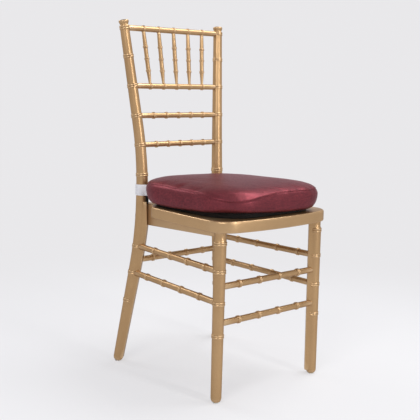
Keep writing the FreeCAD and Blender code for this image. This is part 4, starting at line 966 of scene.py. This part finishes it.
def strap(word, side):
    """White tape round the post, with its end lapped over and pressed down."""
    point, way = REAR_LINES[side].at(STRAP_MIDDLE)
    corner = np.array([side * (CUSHION_WIDE - REAR_ROUND), CUSHION_BACK - REAR_ROUND, point[2]])
    toward = corner - point
    reach = np.linalg.norm(toward[:2]) - REAR_ROUND + STRAP_INTO_CUSHION
    ahead = unit(toward - way * np.dot(toward, way))
    spot = {"at": point, "ahead": ahead, "across": np.cross(way, ahead)}
    radius = along(POST_RADII, STRAP_MIDDLE) + STRAP_SLACK + STRAP_THICK / 2
    first = math.acos(radius / reach) * STRAP_LEAVES
    turn = np.linspace(first, 2 * math.pi - first, STRAP_STEPS)
    lead, step = np.linspace(0, 1, LEAD_STEPS, retstep=True)
    lead = lead[:-1]
    corner_x, corner_y = radius * math.cos(first), radius * math.sin(first)
    ahead_run = np.r_[reach + (corner_x - reach) * lead, radius * np.cos(turn),
                      corner_x + (reach - corner_x) * (lead + step)]
    across_run = np.r_[STRAP_APART + (corner_y - STRAP_APART) * lead, radius * np.sin(turn),
                       -corner_y + (corner_y - STRAP_APART) * (lead + step)]
    tape = band(f"strap_tape_{word}", (ahead_run, across_run), STRAP_HALF, STRAP_THICK, spot, way)
    finish_piece(tape, WHITE, f"cushion_strap_{word}")
    over = radius + STRAP_THICK
    lap = -side * np.linspace(math.radians(LAP_START), math.radians(LAP_END), LAP_STEPS)
    lap_end = band(f"strap_lap_{word}", (over * np.cos(lap), over * np.sin(lap)), STRAP_HALF - LAP_SLIMMER,
                   STRAP_THICK - LAP_THINNER, spot, way)
    finish_piece(lap_end, WHITE)


def tie_tab(word, side):
    """Black tape end that hangs between the strap and the bearer's ear."""
    mirror = np.array([side, 1, 1])
    ahead = unit(TAB_WAY * mirror)
    spot = {"at": REAR_LINES[side].at(TAB_HEIGHT)[0] + TAB_SHIFT * mirror, "ahead": ahead,
            "across": np.cross(UP, ahead)}
    run = np.linspace(-TAB_REACH, TAB_REACH, TAB_STEPS)
    path = run, TAB_BEND * np.cos(run * TAB_WAVE)
    tab = band(f"tie_tab_{word}", path, TAB_HALF, TAB_THICK, spot, UP)
    finish_piece(tab, BLACK)


for word, side in SIDES.items():
    strap(word, side)
    tie_tab(word, side)


# Planks under the seat frame, and what holds them

PLANK_THICK = 20.0
REAR_PLANK_OUT, FRONT_PLANK_OUT = 127.5, 171.0
PLANK_REAR, PLANK_FRONT = 150.0, -170.0
REAR_DROP, FRONT_DROP = 35.0, 13.0
EAR_TOP = 437.0
INTO_LEG, OFF_FRAME = 0.6, 0.4
BEVEL_WIDTH, BEVEL_STEPS = 0.0022, 3


def bevelled(name, rings):
    item = skin(name, rings, crease=30)
    with_modifier(item, "BEVEL", width=BEVEL_WIDTH, segments=BEVEL_STEPS, limit_method="ANGLE")
    return item


def meets(face, plane_point, plane_way):
    """Where a plank's face, a line in plan from front to rear, meets an upright plane."""
    start, end = face
    way = end - start
    share = np.dot(plane_point[:2] - start, plane_way[:2]) / np.dot(way, plane_way[:2])
    return start + way * share


def plank_faces(side):
    """Outer and inner face of a side plank, each a line in plan from front to rear."""
    rear_out = np.array([side * REAR_PLANK_OUT, PLANK_REAR])
    front_out = np.array([side * FRONT_PLANK_OUT, PLANK_FRONT])
    way = unit(rear_out - front_out)
    inwards = np.array([-side, 0.0])
    inwards = unit(inwards - way * np.dot(inwards, way)) * PLANK_THICK
    return [(front_out, rear_out), (front_out + inwards, rear_out + inwards)]


def plank(word, side, faces):
    """Side plank that tapers to the front leg and rises as an ear between seat frame and post."""
    rear_in, front_in = unit([-side, -1.0, 0.0]), unit([-side, 1.0, 0.0])
    cut_a, cut_b = (np.array([side * x, y]) for x, y in CUT_CORNER)
    cut_way = unit(cut_b - cut_a)
    cut_out = np.array([cut_way[1] * side, -cut_way[0] * side, 0.0])
    cut_point = np.array([*cut_a, 0.0]) + cut_out * OFF_FRAME
    front_point = FRONT_LINES[side].at(UNDERSIDE)[0] + front_in * (FRONT_REACH - INTO_LEG)
    rings = []
    for face in faces:
        rear = []
        for height in (UNDERSIDE - REAR_DROP, EAR_TOP):
            reach = along(REAR_REACH, height) - INTO_LEG
            rear.append((*meets(face, REAR_LINES[side].at(height)[0] + rear_in * reach, rear_in), height))
        step = meets(face, cut_point, cut_out)
        front = meets(face, front_point, front_in)
        rings.append([rear[0], (*front, UNDERSIDE - FRONT_DROP), (*front, UNDERSIDE), (*step, UNDERSIDE),
                      (*step, EAR_TOP), rear[1]])
    return bevelled(f"plank_{word}", rings)


def fastener(name, place, way, radius):
    """Domed head with a round recess, standing just out of the wood."""
    profile = ((-3.0, 0.55), (-0.6, 1), (0.2, 1), (0.75, 0.86), (1.0, 0.62), (1.0, 0.48), (-0.6, 0.42))
    profile = [(distance, radius * share) for distance, share in profile]
    return turned_bar(name, np.asarray(place, float), unit(way), profile)


def plain_plank(name, low, high):
    """Bevelled box between two opposite corners."""
    plan = ((low[0], low[1]), (high[0], low[1]), (high[0], high[1]), (low[0], high[1]))
    return bevelled(name, [[(x, y, height) for x, y in plan] for height in (low[2], high[2])])


SCREW_PLACES = (-120.0, 60.0)
SCREW_RADIUS, SCREW_SUNK = 3.6, 0.3
BOLT_HEIGHT, BOLT_RADIUS, BOLT_SUNK = 404.0, 4.6, 0.4
REAR_PLANK_LOW, REAR_PLANK_HIGH = (-108.6, 127.0, 385.5), (108.6, 147.0, 413.4)
REAR_SCREW_X = 75.0
REAR_PLANK_MIDDLE = (REAR_PLANK_LOW[1] + REAR_PLANK_HIGH[1]) / 2
screws = []
for word, side in SIDES.items():
    faces = plank_faces(side)
    finish_piece(plank(word, side, faces), GOLD, f"side_bearer_{word}")
    for index, y in enumerate(SCREW_PLACES):
        share = (y - PLANK_FRONT) / (PLANK_REAR - PLANK_FRONT)
        x = sum(face[0][0] + (face[1][0] - face[0][0]) * share for face in faces) / 2
        place = (x, y, UNDERSIDE - FRONT_DROP + (FRONT_DROP - REAR_DROP) * share + SCREW_SUNK)
        screws.append(fastener(f"plank_screw_{word}_{index}", place, -UP, SCREW_RADIUS))
    back = unit([side, 1.0, 0.0])
    head = REAR_LINES[side].at(BOLT_HEIGHT)[0] + back * (along(POST_RADII, BOLT_HEIGHT) - BOLT_SUNK)
    finish_piece(fastener(f"post_bolt_{word}", head, back, BOLT_RADIUS), ZINC, "seat_bolts")
finish_piece(plain_plank("plank_rear", REAR_PLANK_LOW, REAR_PLANK_HIGH), GOLD, "rear_bearer")
for word, side in SIDES.items():
    place = (side * REAR_SCREW_X, REAR_PLANK_MIDDLE, REAR_PLANK_LOW[2])
    screws.append(fastener(f"rear_plank_screw_{word}", place, -UP, SCREW_RADIUS))
for screw in screws:
    finish_piece(screw, ZINC, "frame_screws")


# Carried-over solids

for node, material in {"seat_panel": PLY, "foot_glides": NYLON}.items():
    solid = frame["nodes"][node]
    solid.data.materials.clear()
    solid.data.materials.append(material)


# Stage, light and camera

PALE = (0.815, 0.808, 0.825)
FLOOR_REACH = 6000


def seen_share(tree):
    """Whether a ray comes straight, mirrored or through glass from the camera."""
    rays = add(tree, "ShaderNodeLightPath")
    direct = maths(tree, "MAXIMUM", rays.outputs["Is Camera Ray"], rays.outputs["Is Transmission Ray"])
    return maths(tree, "MAXIMUM", direct, rays.outputs["Is Glossy Ray"])


def studio():
    """Pale floor that keeps a soft shadow and melts into the pale surroundings."""
    corners = [(x * FLOOR_REACH, y * FLOOR_REACH, 0) for x, y in ((-1, -1), (1, -1), (1, 1), (-1, 1))]
    floor = new_object("floor", corners, [(0, 1, 2, 3)])
    material, tree, shader, place = new_material("studio_floor")
    plug(tree, shader, {"Base Color": (0.8, 0.8, 0.81, 1), "Roughness": 0.9, "Specular IOR Level": 0.1})
    pale = add(tree, "ShaderNodeEmission", {"Color": (*PALE, 1), "Strength": 1.0}).outputs[0]
    distance = add(tree, "ShaderNodeVectorMath", {0: place}, operation="LENGTH").outputs["Value"]
    far = add(tree, "ShaderNodeMapRange", {"Value": distance, "From Min": 0.5, "From Max": 1.7,
                                           "To Min": 0.62, "To Max": 1.0},
              interpolation_type="SMOOTHSTEP").outputs["Result"]
    share = maths(tree, "MULTIPLY", seen_share(tree), far)
    chosen = add(tree, "ShaderNodeMixShader", {"Fac": share, 1: shader.outputs[0], 2: pale})
    plug(tree, tree.nodes["Material Output"], {"Surface": chosen.outputs[0]})
    floor.data.materials.append(material)


def world():
    """Pale all round at eye level, dimmer overhead."""
    surroundings = bpy.data.worlds.new("studio_world")
    bpy.context.scene.world = surroundings
    surroundings.use_nodes = True
    tree = surroundings.node_tree
    background = tree.nodes["Background"]
    plug(tree, background, {"Color": (0.92, 0.93, 1.0, 1), "Strength": 0.48})
    direction = add(tree, "ShaderNodeTexCoord").outputs["Generated"]
    height = add(tree, "ShaderNodeSeparateXYZ", {0: direction}).outputs["Z"]
    sky = add(tree, "ShaderNodeMapRange", {"Value": height, "From Min": 0.3, "From Max": 0.8, "To Min": 1.0,
                                           "To Max": 0.3}).outputs["Result"]
    seen = add(tree, "ShaderNodeBackground", {"Color": (*PALE, 1), "Strength": sky})
    chosen = add(tree, "ShaderNodeMixShader", {"Fac": seen_share(tree), 1: background.outputs[0],
                                               2: seen.outputs[0]})
    plug(tree, tree.nodes["World Output"], {"Surface": chosen.outputs[0]})


# Name, place, aim, width, height and power of each lamp.
LAMPS = (("key", (0.25, -2.8, 1.5), (0, -0.05, 0.5), 0.35, 2.2, 32),
         ("overhead", (0.95, -0.35, 2.4), (0, -0.1, 0.45), 1.5, 1.1, 38),
         ("back", (-0.45, 2.0, 2.1), (0, 0, 0.5), 1.0, 0.7, 14),
         ("fill", (-2.3, -1.2, 2.5), (0, 0, 0.5), 1.2, 1.2, 36))
CAMERA_PLACE = (-1.38495, -1.5709, 0.7511)
CAMERA_AZIMUTH, CAMERA_PITCH, CAMERA_ROLL = 40.565, -8.78, 1.057
CAMERA_LENS = 69.5


def lamp(name, place, aim, width, height, power):
    data = bpy.data.lights.new(name, "AREA")
    data.shape = "RECTANGLE"
    data.size, data.size_y = width, height
    data.energy = power
    item = bpy.data.objects.new(name, data)
    item.location = place
    item.rotation_mode = "QUATERNION"
    item.rotation_quaternion = (Vector(aim) - Vector(place)).to_track_quat("-Z", "Y")
    bpy.context.scene.collection.objects.link(item)


def camera():
    """The photograph's own viewpoint."""
    data = bpy.data.cameras.new("camera")
    data.sensor_width = 36
    data.lens = CAMERA_LENS
    data.clip_start, data.clip_end = 0.05, 50
    item = bpy.data.objects.new("camera", data)
    place = Matrix.Translation(Vector(CAMERA_PLACE))
    for degrees, axis in ((-CAMERA_AZIMUTH, "Z"), (90 + CAMERA_PITCH, "X"), (CAMERA_ROLL, "Z")):
        place = place @ Matrix.Rotation(math.radians(degrees), 4, axis)
    item.matrix_world = place
    bpy.context.scene.collection.objects.link(item)
    bpy.context.scene.camera = item


studio()
world()
for settings in LAMPS:
    lamp(*settings)
camera()
bpy.context.scene.view_settings.view_transform = "Standard"
